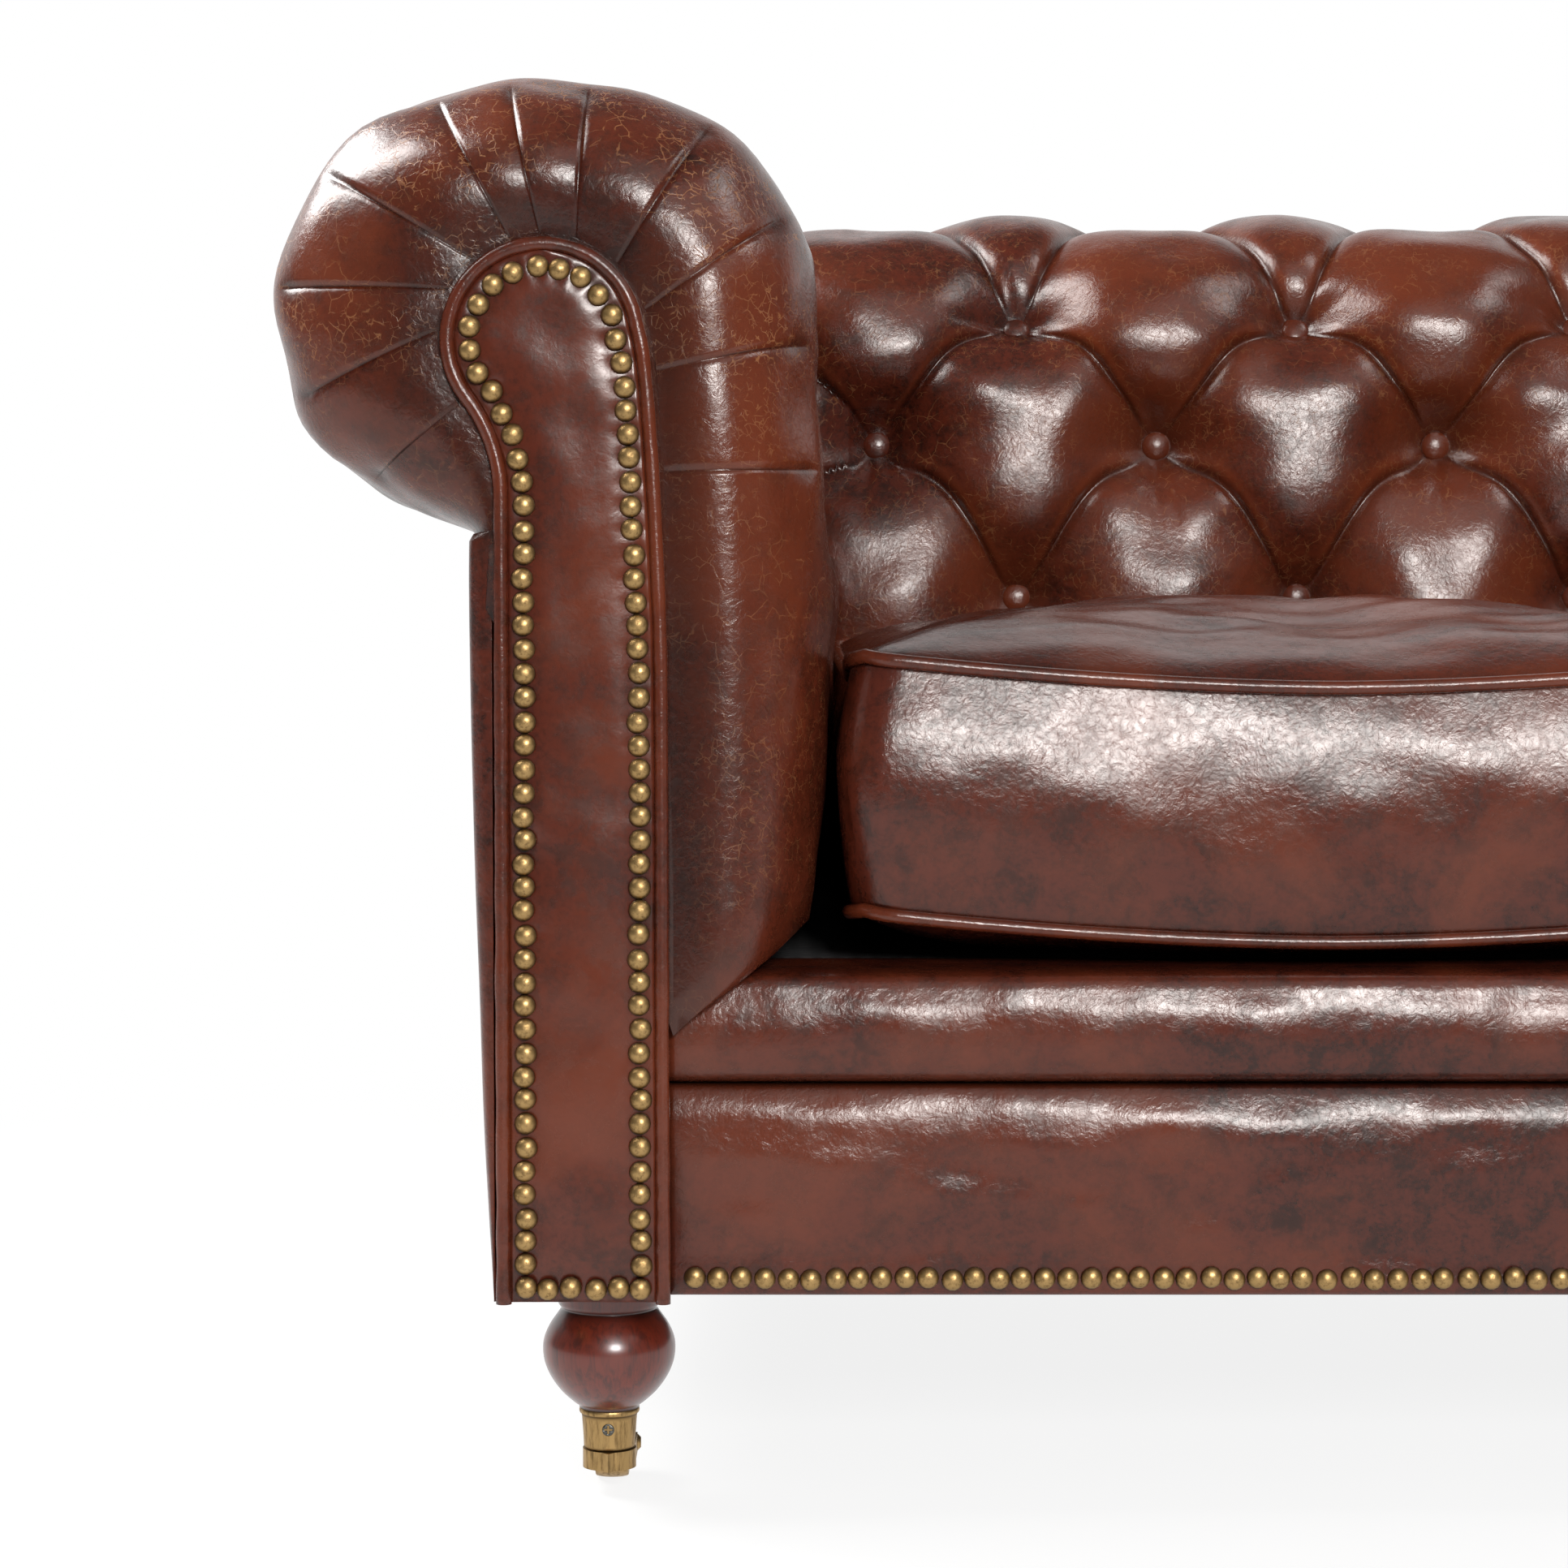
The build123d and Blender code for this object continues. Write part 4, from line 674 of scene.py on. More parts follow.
def facing_line(inset, bottom):
    """Facing's outline from its inner foot up, round the head and down the outer edge: a smooth
    line that is upright at first, the head's arc, a hollow arc and a straight edge."""
    ogee_p = -HALF_WIDTH - OGEE_RADIUS
    ogee_z = HEAD_Z - np.sqrt((HEAD_RADIUS + OGEE_RADIUS) ** 2 - (HEAD_P - ogee_p) ** 2)
    turn = np.arctan2(HEAD_Z - ogee_z, HEAD_P - ogee_p)
    round_head = np.linspace(np.radians(12), np.pi + turn, 80)
    head = np.stack([HEAD_P + (HEAD_RADIUS - inset) * np.cos(round_head),
                     HEAD_Z + (HEAD_RADIUS - inset) * np.sin(round_head)], -1)
    hollow = np.linspace(turn, 0, 30)
    ogee = np.stack([ogee_p + (OGEE_RADIUS + inset) * np.cos(hollow),
                     ogee_z + (OGEE_RADIUS + inset) * np.sin(hollow)], -1)
    edge = np.array([(FACING_FOOT + 0.5, bottom), (FACING_FOOT, 250), (FACING_FOOT, 350),
                     (45.6, 450), (44, 500), (42.2, 540), (39.6, 580), (36.6, 612)]) - [inset, 0]
    line = np.vstack([smooth_line(np.vstack([edge, head[:1]])), head[1:], ogee[1:],
                      [(-HALF_WIDTH + inset, bottom)]])
    return even_line(line, 600)


# Covers of the arms and the back


# Each pleat's inner end at the facing and outer end on the roll, from the seat side over the top
PLEATS = (((40, 551), (120, 554)), ((38, 604), (124, 621)), ((32, 634), (108, 689)),
          ((18, 657), (66, 733)), ((-2, 671), (2, 758)), ((-20, 673), (-39, 759)),
          ((-37, 674), (-77, 744)), ((-58, 665), (-133, 708)), ((-69, 648), (-165, 651)),
          ((-70, 626), (-145, 594)), ((-57, 590), (-111, 551)))
PLEAT_STEPS = 11                      # grid steps from one pleat to the next
BELOW_STEPS = 30                      # grid steps below the first pleat


def pleat_columns():
    """Lengths along the section with a grid line on every pleat, and the pleats' heights there.

    Between two pleats the leather swells as a half sine. The edge nearer to the arm's top laps
    over the next piece, so a piece starts low at its upper end and ends high at its lower end.
    """
    ends = [section_place(outer) for _, outer in PLEATS]
    share = 0.5 - 0.5 * np.cos(np.linspace(0, np.pi, PLEAT_STEPS + 1))
    top = len(PLEATS) // 2 - 1
    below = ends[0] * (1 - np.linspace(1, 0, BELOW_STEPS + 1)[:-1] ** 1.8)
    places, swell, tuck = [below], [np.zeros(BELOW_STEPS)], [np.zeros(BELOW_STEPS)]
    for k, (start, end) in enumerate(zip(ends, ends[1:])):
        low = share if k < top else 1 - share
        step = np.zeros_like(share) if k == top else low ** 2
        step[0] = 1.7
        places.append(start + (end - start) * share[:-1])
        swell.append(np.sin(np.pi * share[:-1]) ** 0.8)
        tuck.append(step[:-1])
    rest = np.linspace(0, 1, len(ROW_STEPS) - BELOW_STEPS - PLEAT_STEPS * (len(PLEATS) - 1))
    places.append(ends[-1] + (SECTION_END - ends[-1]) * rest ** 1.7)
    swell.append(np.zeros_like(rest))
    tuck.append(1.6 * (rest == 0))
    return (np.concatenate(v) for v in (places, swell, tuck))


def arm_cover(side, sizes):
    """Arm cover: the section run back from the facing to the corner's mitre.

    Over the first 75 mm the section grows from the facing's outline to its full size as a quarter
    round that swells forward by a sine, with the pleats along it and a short tuck at each pleat's
    end, which gets a painted shade. Behind that the tufts set in, and the rear end is cut on the
    plane at 45 degrees, where the depth is the back's depth less p.
    """
    front_depth, round_depth, lattice_from = 4.4, 75.0, 112.0
    turn = np.linspace(0.02, np.pi / 2, 27)
    lattice = MIDDLE_BUTTON + HALF_PITCH * (np.arange(-3 * STEPS, 2.2 * STEPS) / STEPS)
    lattice = lattice[lattice > lattice_from]
    corner = np.linspace(0, 1, CORNER_STEPS + 1)[1:]
    depth = np.r_[front_depth + (round_depth - front_depth) * (1 - np.cos(turn)),
                  np.arange(80, lattice[0] - 2, 6.5), lattice, np.full(CORNER_STEPS, lattice[-1])]
    share = np.r_[np.sin(turn), np.ones(len(depth) - len(turn))]
    toward = np.r_[np.zeros(len(depth) - CORNER_STEPS), corner][:, None]
    pleat_place, swell, tuck = pleat_columns()
    base = section_at(row_place(ROW_STEPS))[0][None, :, 0]
    reached = depth[:, None] + (BACK_DEPTH - base - depth[:, None]) * toward
    column = (reached - MIDDLE_BUTTON) / HALF_PITCH + 1
    tuft_place, height, crease, rub_and_highlight = tufts(column, ROW_STEPS[None], ARM_BUTTONS, sizes, 11)
    dip, dark = corner_pleats(column, BACK_DEPTH - base - reached, ROW_STEPS[None], 4.05)
    # From 85 to 160 mm the grid's lines pass over from the pleats' places to the tufts' places
    into = smooth_step(depth, 85, 160)[:, None]
    place = (1 - into) * pleat_place + into * tuft_place
    shown = smooth_step(depth, 118, 190)[:, None] * (1 - smooth_step(column, 3.5, 4.4))
    pleat = (0.5 + 0.5 * smooth_step(depth, 2, 18)) * (1 - smooth_step(depth, 16, 60))
    ridge = sizes.pleat_swell / MM * swell - sizes.pleat_depth / MM * tuck
    outer, outward = section_at(place)
    # The facing's outline, matched to the section from pleat to pleat
    inner_line = facing_line(-0.5, TAIL_Z)
    inner_run = place_lengths(inner_line)
    ends = [section_place(q) for _, q in PLEATS]
    starts = [nearest_place(inner_line, inner_run, q) for q, _ in PLEATS]
    outer_end = nearest_place(inner_line, inner_run, (-HALF_WIDTH, 524))
    known = [0, section_place((118, 310)), section_place((127.5, 380)), *ends, SECTION_END]
    inner = points_at(inner_line, inner_run,
                      np.interp(pleat_place, known, [0, 4, 90, *starts, outer_end]))
    section = inner + (outer - inner) * share[:, None, None]
    lumps = 0.8 * soft_noise(place, 1.3 * depth[:, None], 70, 5) * share[:, None]
    gap = np.abs(pleat_place[:, None] - np.array(ends)).min(1)
    tuck_end = bell(depth[:, None], 43, 8) * bell(gap, 0, 5)
    move = height * shown + dip + ridge * pleat[:, None] + lumps - 1.2 * tuck_end
    # Near its two tacked ends the front of the section doesn't move
    held = smooth_step(pleat_place, 60, 130) * smooth_step(SECTION_END - pleat_place, 0, 40)
    move = move * np.where(depth[:, None] < 160, held, 1)
    section = section + outward * (move * share[:, None])[..., None]
    # On the quarter round a move outwards is partly one forwards
    forward = -move * np.cos(np.arcsin(np.clip(share, 0, 1)))[:, None]
    # The swelling dies down towards the outer side, from the seventh pleat to the ninth
    fuller = 1 - 0.75 * smooth_step(pleat_place, ends[6], ends[8])
    bulge = 12.0 * np.sin(np.pi * share)[:, None] ** 1.3 * fuller
    run = depth[:, None] + forward - bulge * held
    end = BACK_DEPTH - section[..., 0]
    seam, edge = mitre_seam(np.maximum(end - run, 0) * (1 - toward))
    section = section + outward * seam[..., None]
    end = BACK_DEPTH - section[..., 0]
    run = run + (end - run) * toward
    # The hidden side lies along the frame
    hidden = inner_line[-1] + (INSIDE - inner_line[-1]) * (0.85 + 0.15 * share[:, None, None])
    loop = np.concatenate([section, hidden], 1)
    hidden_end = BACK_DEPTH - hidden[..., 0]
    hidden_run = depth[:, None] + (hidden_end - depth[:, None]) * toward
    points = arm_point(loop[..., 0], loop[..., 1], np.concatenate([run, hidden_run], 1), side)
    fold = np.clip(tuck - 0.9, 0, 0.6) * pleat[:, None]
    # Lighter on the pleats' crowns and high lapping edges: wear, and a painted highlight along the
    # edges
    wear = 0.5 * smooth_step(swell + 1.2 * (tuck > 0) - tuck, 0.9, 1.2) * pleat[:, None]
    tucked = np.exp(-np.maximum(depth - 4, 0) / 6)[:, None]
    front = (1 - smooth_step(depth, 90, 220))[:, None]
    below = (1 - smooth_step(section[..., 1], 520, 620)) * smooth_step(section[..., 0], 40, 80)
    # Painted shade in the folds, pits, corner pleats, pleat folds, the tuck against the facing, the
    # mitre and the pleats' end tucks; lighter for wear and as a painted highlight on the lips of folds
    # and pleats
    mark, rubbed = np.zeros((2, *points.shape[:2]))
    mark[:, :len(ROW_STEPS)] = np.maximum.reduce(np.broadcast_arrays(
        crease * shown, dark, fold, 0.8 * tucked, edge, 0.75 * tuck_end))
    rubbed[:, :len(ROW_STEPS)] = rub_and_highlight * shown + wear + 0.5 * front * below
    age = 0.2 + front * (0.12 + 0.55 * smooth_step(loop[..., 1], 540, 660))
    values = {"crease": mark, "rub_and_highlight": rubbed, "age": age}
    return points, tufted_faces(points, column), values


def back_cover(sizes):
    """Back cover: the tufted section run from one corner's mitre to the other."""
    lattice = HALF_PITCH * np.arange(-5.2 * STEPS, 5.2 * STEPS + 0.5) / STEPS
    corner = np.linspace(0, 1, CORNER_STEPS + 1)[1:]
    x = np.r_[np.full(CORNER_STEPS, lattice[0]), lattice, np.full(CORNER_STEPS, lattice[-1])][:, None]
    toward = np.r_[corner[::-1], np.zeros(len(lattice)), corner][:, None]
    base = section_at(row_place(ROW_STEPS))[0][None, :, 0]
    reached = x + (np.sign(x) * (ARM_LINE - base) - x) * toward
    column = reached / HALF_PITCH
    place, height, crease, rub_and_highlight = tufts(column, ROW_STEPS[None], BACK_BUTTONS, sizes, 23)
    to_mitre = ARM_LINE - base - np.abs(reached)
    dip, dark = corner_pleats(np.abs(column), to_mitre, ROW_STEPS[None], 6.05)
    shown = 1 - smooth_step(np.abs(column), 5.5, 6.4)
    section, outward = section_at(place)
    lumps = 0.7 * soft_noise(place, x, 75, 9)
    section = section + outward * (height * shown + dip + lumps * (1 - toward))[..., None]
    seam, edge = mitre_seam((ARM_LINE - section[..., 0] - np.abs(x)) * (1 - toward))
    section = section + outward * seam[..., None]
    loop = np.concatenate([section, np.broadcast_to(INSIDE, (len(x), *INSIDE.shape))], 1)
    run = x + (np.sign(x) * (ARM_LINE - loop[..., 0]) - x) * toward
    points = back_point(loop[..., 0], loop[..., 1], run)
    # Painted shade in the folds, pits, corner pleats and mitre; lighter for wear and as a painted
    # highlight on the folds' lips
    mark, rubbed = np.zeros((2, *points.shape[:2]))
    mark[:, :len(ROW_STEPS)] = np.maximum.reduce([crease * shown, dark, edge])
    rubbed[:, :len(ROW_STEPS)] = rub_and_highlight * shown
    values = {"crease": mark, "rub_and_highlight": rubbed, "age": np.full(mark.shape, 0.35)}
    return points, tufted_faces(points, column), values


# Nailed facings


def facing_frames(side, seed):
    """Places of a facing's nails: along an inner outline and across its foot, with small slips."""
    foot_z = HEM_Z + 7.5
    line = facing_line(15.5, foot_z)
    count = round(place_lengths(line)[-1] / NAIL_STEP)
    left, right = line[-1, 0], line[0, 0]
    foot = np.linspace(left, right, round((right - left) / NAIL_STEP) + 1)[1:-1]
    foot = np.stack([foot, np.full(len(foot), foot_z)], -1)
    spots = np.vstack([even_line(line, count + 1), foot])
    rng = np.random.default_rng(seed)
    spots = spots + rng.uniform(-0.7, 0.7, spots.shape)
    places = arm_point(spots[:, 0], spots[:, 1], -0.2, side)
    return [nail_frame(place, rng) for place in places], spots


def nail_frame(place, rng):
    """Frame of a nail head that faces the front, tilted a little."""
    out = np.array([rng.uniform(-0.07, 0.07), -1.0, rng.uniform(-0.07, 0.07)])
    out /= np.linalg.norm(out)
    across = np.cross(out, [0, 0, 1.0])
    across /= np.linalg.norm(across)
    return place, across, np.cross(out, across), out


def nail_heads(name, node, frames, sizes):
    """Domed brass heads at the given frames, darker towards their rims."""
    nail = dome(sizes.nail_radius / MM, NAIL_HEIGHT, 14, 4)
    rim = 0.9 * (1 - nail[0][:, 2] / NAIL_HEIGHT) ** 1.3
    points, faces = copies(nail, frames)
    make_piece(name, points, faces, "aged_brass_nails", "sofa", [node],
               {"crease": np.tile(rim, len(frames))})


def facing_panel(side, nails):
    """Padded facing: rows between the outline's two edges, puffed by a few millimetres, with a
    dimple at each nail and a board of leather-covered edges behind it."""
    line = facing_line(7.4, HEM_Z)
    top = np.argmax(line[:, 1])
    inner, outer = line[:top + 1], line[top:][::-1]
    share = 1 - (1 - np.linspace(0, 1, 150)) ** 1.6
    z = HEM_Z + (line[top, 1] - 0.2 - HEM_Z) * share
    right = np.interp(z, inner[:, 1], inner[:, 0])
    left = np.interp(z, outer[:, 1], outer[:, 0])
    across = np.linspace(-1, 1, 34)[None]
    p = (left + right)[:, None] / 2 + (right - left)[:, None] / 2 * across
    zz = np.broadcast_to(z[:, None], p.shape)
    gap = (p[..., None] - nails[:, 0]) ** 2 + (zz[..., None] - nails[:, 1]) ** 2
    dimple = np.exp(-gap / 42).max(-1)
    puff = 2.6 * (1 - across ** 2) ** 0.6 * smooth_step(z, HEM_Z, HEM_Z + 30)[:, None]
    puff = puff - 2.0 * dimple + 0.3 * soft_noise(p, zz, 45, 31)
    front = arm_point(p, zz, 1.0 - puff, side).reshape(-1, 3)
    edge = grid_border(*p.shape)
    board_back = FRONT_Y + 5.5
    points = np.vstack([front, front[edge] * [1, 0, 1] + [0, board_back, 0]])
    base, count = len(front), len(edge)
    behind = np.arange(base, base + count)
    faces = grid_faces(*p.shape, wrap_cols=False) + wall_faces(edge, behind) + [behind.tolist()]
    # Painted shade in the dimples at the nails and on the board's hidden edges behind
    crease = np.r_[(0.5 * smooth_step(dimple, 0.3, 0.9)).ravel(), np.full(count, 0.8)]
    rub_and_highlight = np.r_[(0.3 * (1 - dimple)).ravel(), np.zeros(count)]
    return points, faces, {"crease": crease, "rub_and_highlight": rub_and_highlight, "taut": np.ones(len(points))}


def facing_return(side):
    """Leather round the edge of the facing's board: its outline run back to the front rail."""
    line = facing_line(0.8, HEM_Z)[::3]
    depth = np.array([5.0, 7.0, 20.0, 31.0])[:, None]
    return arm_point(line[None, :, 0], line[None, :, 1], depth, side)


def facing_cord(side, thick):
    """Piping round the facing: a tube along its outline, with a slightly uneven radius."""
    line = facing_line(3.9, HEM_Z - 1)
    along = np.linspace(0, place_lengths(line)[-1], 420)
    line = even_line(line, len(along))
    path = arm_point(line[:, 0], line[:, 1], 1.9, side)
    radius = thick - 0.1 + 0.12 * soft_noise(along, np.zeros(len(along)), 30, 17)
    return tube(path, radius, (0, 1, 0), 14)


# Steps, each with the shapes that it alone uses


class SofaOperator:
    """What every step of the dressing shares."""
    bl_options = {"REGISTER", "UNDO"}


class SOFA_OT_arms(SofaOperator, bpy.types.Operator):
    """Make the pleated and buttoned covers of both arms"""
    bl_idname = "sofa.arms"
    bl_label = "Arm covers"

    def execute(self, context):
        for side, name in SIDES:
            leather_piece(f"arm_cover_{name}", [f"arm_front_{name}", f"arm_pad_{name}"],
                          *arm_cover(side, context.scene.sofa_sizes), fill=0.8)
        return {"FINISHED"}


class SOFA_OT_back(SofaOperator, bpy.types.Operator):
    """Make the deep-buttoned cover of the back"""
    bl_idname = "sofa.back"
    bl_label = "Back cover"

    def execute(self, context):
        sizes = context.scene.sofa_sizes
        leather_piece("back_cover", ["back_pad"], *back_cover(sizes), fill=0.8)
        return {"FINISHED"}


class SOFA_OT_buttons(SofaOperator, bpy.types.Operator):
    """Seat the leather-covered buttons in their pits"""
    bl_idname = "sofa.buttons"
    bl_label = "Buttons"

    def execute(self, context):
        shape = dome(10.4, 4.2, 24, 6, 2.6)
        sink = context.scene.sofa_sizes.pit_depth / MM + 1.0
        up = np.array([0, 0, 1.0])
        groups = (("back_buttons", BACK_BUTTONS, 0), ("arm_buttons_left", ARM_BUTTONS, -1),
                  ("arm_buttons_right", ARM_BUTTONS, 1))
        for group, places, side in groups:
            frames = []
            for column, row in places:
                spot, out = section_at(ROW_PLACES[row])
                spot = spot - (sink + 2.0 * (row == 2)) * out
                if side:
                    place = arm_point(*spot, MIDDLE_BUTTON + HALF_PITCH * (column - 1), side)
                    across, inward = np.array([0, 1.0, 0]), np.array([-side, 0, 0.0])
                else:
                    place = back_point(*spot, column * HALF_PITCH)
                    across, inward = np.array([1.0, 0, 0]), np.array([0, -1.0, 0])
                outward = out[0] * inward + out[1] * up
                frames.append((place, across, np.cross(outward, across), outward))
            points, faces = copies(shape, frames)
            leather_piece(f"{group}_covered", [group], points, faces,
                          {"rub_and_highlight": np.full(len(points), 0.25)})
        return {"FINISHED"}


class SOFA_OT_facings(SofaOperator, bpy.types.Operator):
    """Make the nailed front facings with their piping"""
    bl_idname = "sofa.facings"
    bl_label = "Facings"

    def execute(self, context):
        sizes = context.scene.sofa_sizes
        for side, name in SIDES:
            frames, spots = facing_frames(side, 3 + side)
            leather_piece(f"facing_panel_{name}", [f"arm_facing_{name}"],
                          *facing_panel(side, spots), fill=0.9)
            points = facing_return(side)
            leather_piece(f"facing_edge_{name}", [], points, closed_faces(points))
            points = facing_cord(side, sizes.piping_radius / MM)
            leather_piece(f"facing_cord_{name}", [f"facing_piping_{name}"], points,
                          closed_faces(points), {"rub_and_highlight": np.full(points.shape[:2], 0.35)})
            nail_heads(f"facing_nail_heads_{name}", f"facing_nails_{name}", frames, sizes)
        return {"FINISHED"}


def outside_piece(name, node, points):
    """Outside panel, with painted shade where it meets the roll above it."""
    crease = 0.7 * np.exp(-np.abs(points[..., 2] - OUTSIDE_TOP) / 6)
    leather_piece(name, [node], points, closed_faces(points), {"crease": crease}, 0.9)


class SOFA_OT_outsides(SofaOperator, bpy.types.Operator):
    """Make the padded panels on the outside of the arms and the back"""
    bl_idname = "sofa.outsides"
    bl_label = "Outside panels"

    def execute(self, context):
        front_depth, board, joint = 4.5, -46.5, 0.2
        edge = even_line(smooth_line([
            (-38, HEM_Z + 1), (-44, HEM_Z - 0.5), (-46.6, HEM_Z + 2), (-47.8, HEM_Z + 14),
            (-51.6, 200), (-55.6, 320), (-58.2, 430), (-58.8, 505), (-57, 519),
            (-47, OUTSIDE_TOP)]), 90)
        loop = np.vstack([edge, [(-46, 500), (-46, 320), (-46, 140)]])
        shown = np.arange(len(loop)) < len(edge)
        for side, name in SIDES:
            share = np.linspace(0, 1, 120)[:, None] ** 1.6
            nose = np.sqrt(1 - (1 - np.clip(share * 80, 0, 1)) ** 2)
            p, z = (np.tile(loop[:, k], (len(share), 1)) for k in (0, 1))
            p = np.where(shown, board + (p - board) * nose, p)
            depth = front_depth + (BACK_DEPTH - p - joint - front_depth) * share
            puff = smooth_step(depth, 6, 40) * smooth_step(z, HEM_Z + 4, HEM_Z + 30) * shown
            puff = puff * (1 - smooth_step(share, 0.96, 1))
            p = p - puff * (0.4 + 0.7 * soft_noise(depth, z, 110, 41 + side))
            outside_piece(f"outside_panel_{name}", f"arm_outside_{name}", arm_point(p, z, depth, side))
        share = np.linspace(-1, 1, 180)[:, None]
        p, z = (np.tile(loop[:, k], (len(share), 1)) for k in (0, 1))
        x = share * (ARM_LINE - p - joint)
        puff = smooth_step(z, HEM_Z + 4, HEM_Z + 30) * shown
        puff = puff * (1 - smooth_step(np.abs(share), 0.98, 1))
        p = p - puff * (0.6 + 0.9 * soft_noise(x, z, 130, 47))
        outside_piece("outside_panel_back", "back_outside", back_point(p, z, x))
        return {"FINISHED"}


def front_roll(profile, half, hidden, seed, uneven):
    """Padded strip along the front: a section of (depth, z) run along X, uneven by soft noise. The
    hidden points close the section behind."""
    edge = even_line(smooth_line(profile), 60)
    along = np.linspace(-1, 1, 260)[:, None]
    x = half * (0.25 * np.sin(np.pi / 2 * along) + 0.75 * along)
    loop = np.vstack([edge, hidden])
    depth, z = (np.tile(loop[:, k], (len(x), 1)) for k in (0, 1))
    span = np.r_[np.sin(np.linspace(0, np.pi, len(edge))), np.zeros(len(hidden))]
    end = 1 - np.exp(-(half - np.abs(x)) / 24)
    depth -= span * end * uneven * soft_noise(x, 2.2 * z, 95, seed)
    depth -= span * end * 0.3 * uneven * soft_noise(x, 0.7 * z, 28, seed + 1)
    depth += span * (1 - end) * 3.5
    return x, depth, z


class SOFA_OT_front(SofaOperator, bpy.types.Operator):
    """Make the nailed front border and the padded lip above it"""
    bl_idname = "sofa.front"
    bl_label = "Front border and lip"

    def execute(self, context):
        half = ARM_LINE - FACING_FOOT + 1.0
        profile = [(28, HEM_Z + 1), (23, HEM_Z - 0.5), (BORDER_FACE + 0.3, HEM_Z + 3),
                   (BORDER_FACE, HEM_Z + 12), (19.5, HEM_Z + 24), (16, 158), (12, 180), (10.8, 196),
                   (12, 211), (16, 223), (20, BORDER_TOP - 1.4), (27, BORDER_TOP - 0.4)]
        x, depth, z = front_roll(profile, half, [(31, 225), (31, 130)], 61, 0.8)
        points = np.stack(np.broadcast_arrays(x, FRONT_Y + depth, z), -1)
        # Painted shade under the seam below the lip and at the ends beside the arms
        crease = np.maximum(0.9 * np.exp(-np.abs(z - BORDER_TOP + 0.5) / 3),
                            0.5 * np.exp(-(half - np.abs(x)) / 6))
        leather_piece("front_border_panel", ["front_border"], points, closed_faces(points),
                      {"crease": crease}, 0.9)
        profile = [(28, BORDER_TOP + 0.4), (21, BORDER_TOP + 1), (14.5, 237), (11, 247), (10.2, 256),
                   (10.5, 263), (11.5, 270), (13.2, 276), (15.8, DECK_TOP - 6.5),
                   (20.5, DECK_TOP - 2.8), (34, DECK_TOP - 1.2), (60, DECK_TOP - 0.8),
                   (80, DECK_TOP - 0.4), (93, DECK_TOP - 0.8)]
        hidden = [(93, 270), (60, 266), (33, 264), (33, 240)]
        x, depth, z = front_roll(profile, half, hidden, 67, 0.5)
        # The lip's ends pass under the arm covers, whose foot rises from p = 39 to p = 118
        ceiling = TAIL_Z - 1.5 + (ARM_LINE - np.abs(x) - 39) * (310 - TAIL_Z) / (118 - 39)
        z = np.minimum(z, np.maximum(ceiling, BORDER_TOP + 2))
        points = np.stack(np.broadcast_arrays(x, FRONT_Y + depth, z), -1)
        # Painted shade along the seam above the border and where the lip passes under the arm covers
        crease = np.maximum(0.9 * np.exp(-np.abs(z - BORDER_TOP - 0.5) / 4),
                            0.6 * np.exp(-np.abs(ceiling - z) / 4))
        leather_piece("front_lip_roll", ["front_lip"], points, closed_faces(points),
                      {"crease": crease}, 0.8)
        rng = np.random.default_rng(19)
        span, slip = 2 * (half - 1.3 - 7.5), 0.8
        count = int(span / NAIL_STEP) + 1
        frames = []
        for spot in (np.arange(count) - (count - 1) / 2) * NAIL_STEP:
            place = np.array([spot + rng.uniform(-slip, slip), FRONT_Y + BORDER_FACE - 0.3,
                              HEM_Z + 9 + rng.uniform(-slip, slip)])
            frames.append(nail_frame(place, rng))
        nail_heads("front_nail_heads", "front_nails", frames, context.scene.sofa_sizes)
        return {"FINISHED"}


CUSHION_HALF = (256.75, 301.0)
CUSHION_CENTRE = (267.25, FRONT_Y + 335.0)
CUSHION_CORNER, CUSHION_DRAW = 27.0, 5.0      # a corner's radius, and how far a side draws in
LOWER_SEAM, UPPER_SEAM = 304.5, 437.0


def cushion_edge(a, b, grow=0.0):
    """Seam outline of a cushion for points on the border of the unit square: a rectangle with
    round corners whose sides draw in between them."""
    half_x, half_y = CUSHION_HALF[0] + grow, CUSHION_HALF[1] + grow
    corner, draw = CUSHION_CORNER, CUSHION_DRAW
    x, y = a * half_x, b * half_y
    over_x, over_y = np.abs(x) - (half_x - corner), np.abs(y) - (half_y - corner)
    reach = np.hypot(over_x, over_y) + 1e-9
    at_corner = (over_x > 0) & (over_y > 0)
    round_x = np.sign(x) * (half_x - corner + corner * over_x / reach)
    round_y = np.sign(y) * (half_y - corner + corner * over_y / reach)
    x, y = np.where(at_corner, round_x, x), np.where(at_corner, round_y, y)
    x = x - np.sign(x) * draw * smooth_step(np.abs(a), 0.8, 1) * np.cos(np.pi / 2 * b) ** 2
    y = y - np.sign(y) * draw * smooth_step(np.abs(b), 0.8, 1) * np.cos(np.pi / 2 * a) ** 2
    return x, y


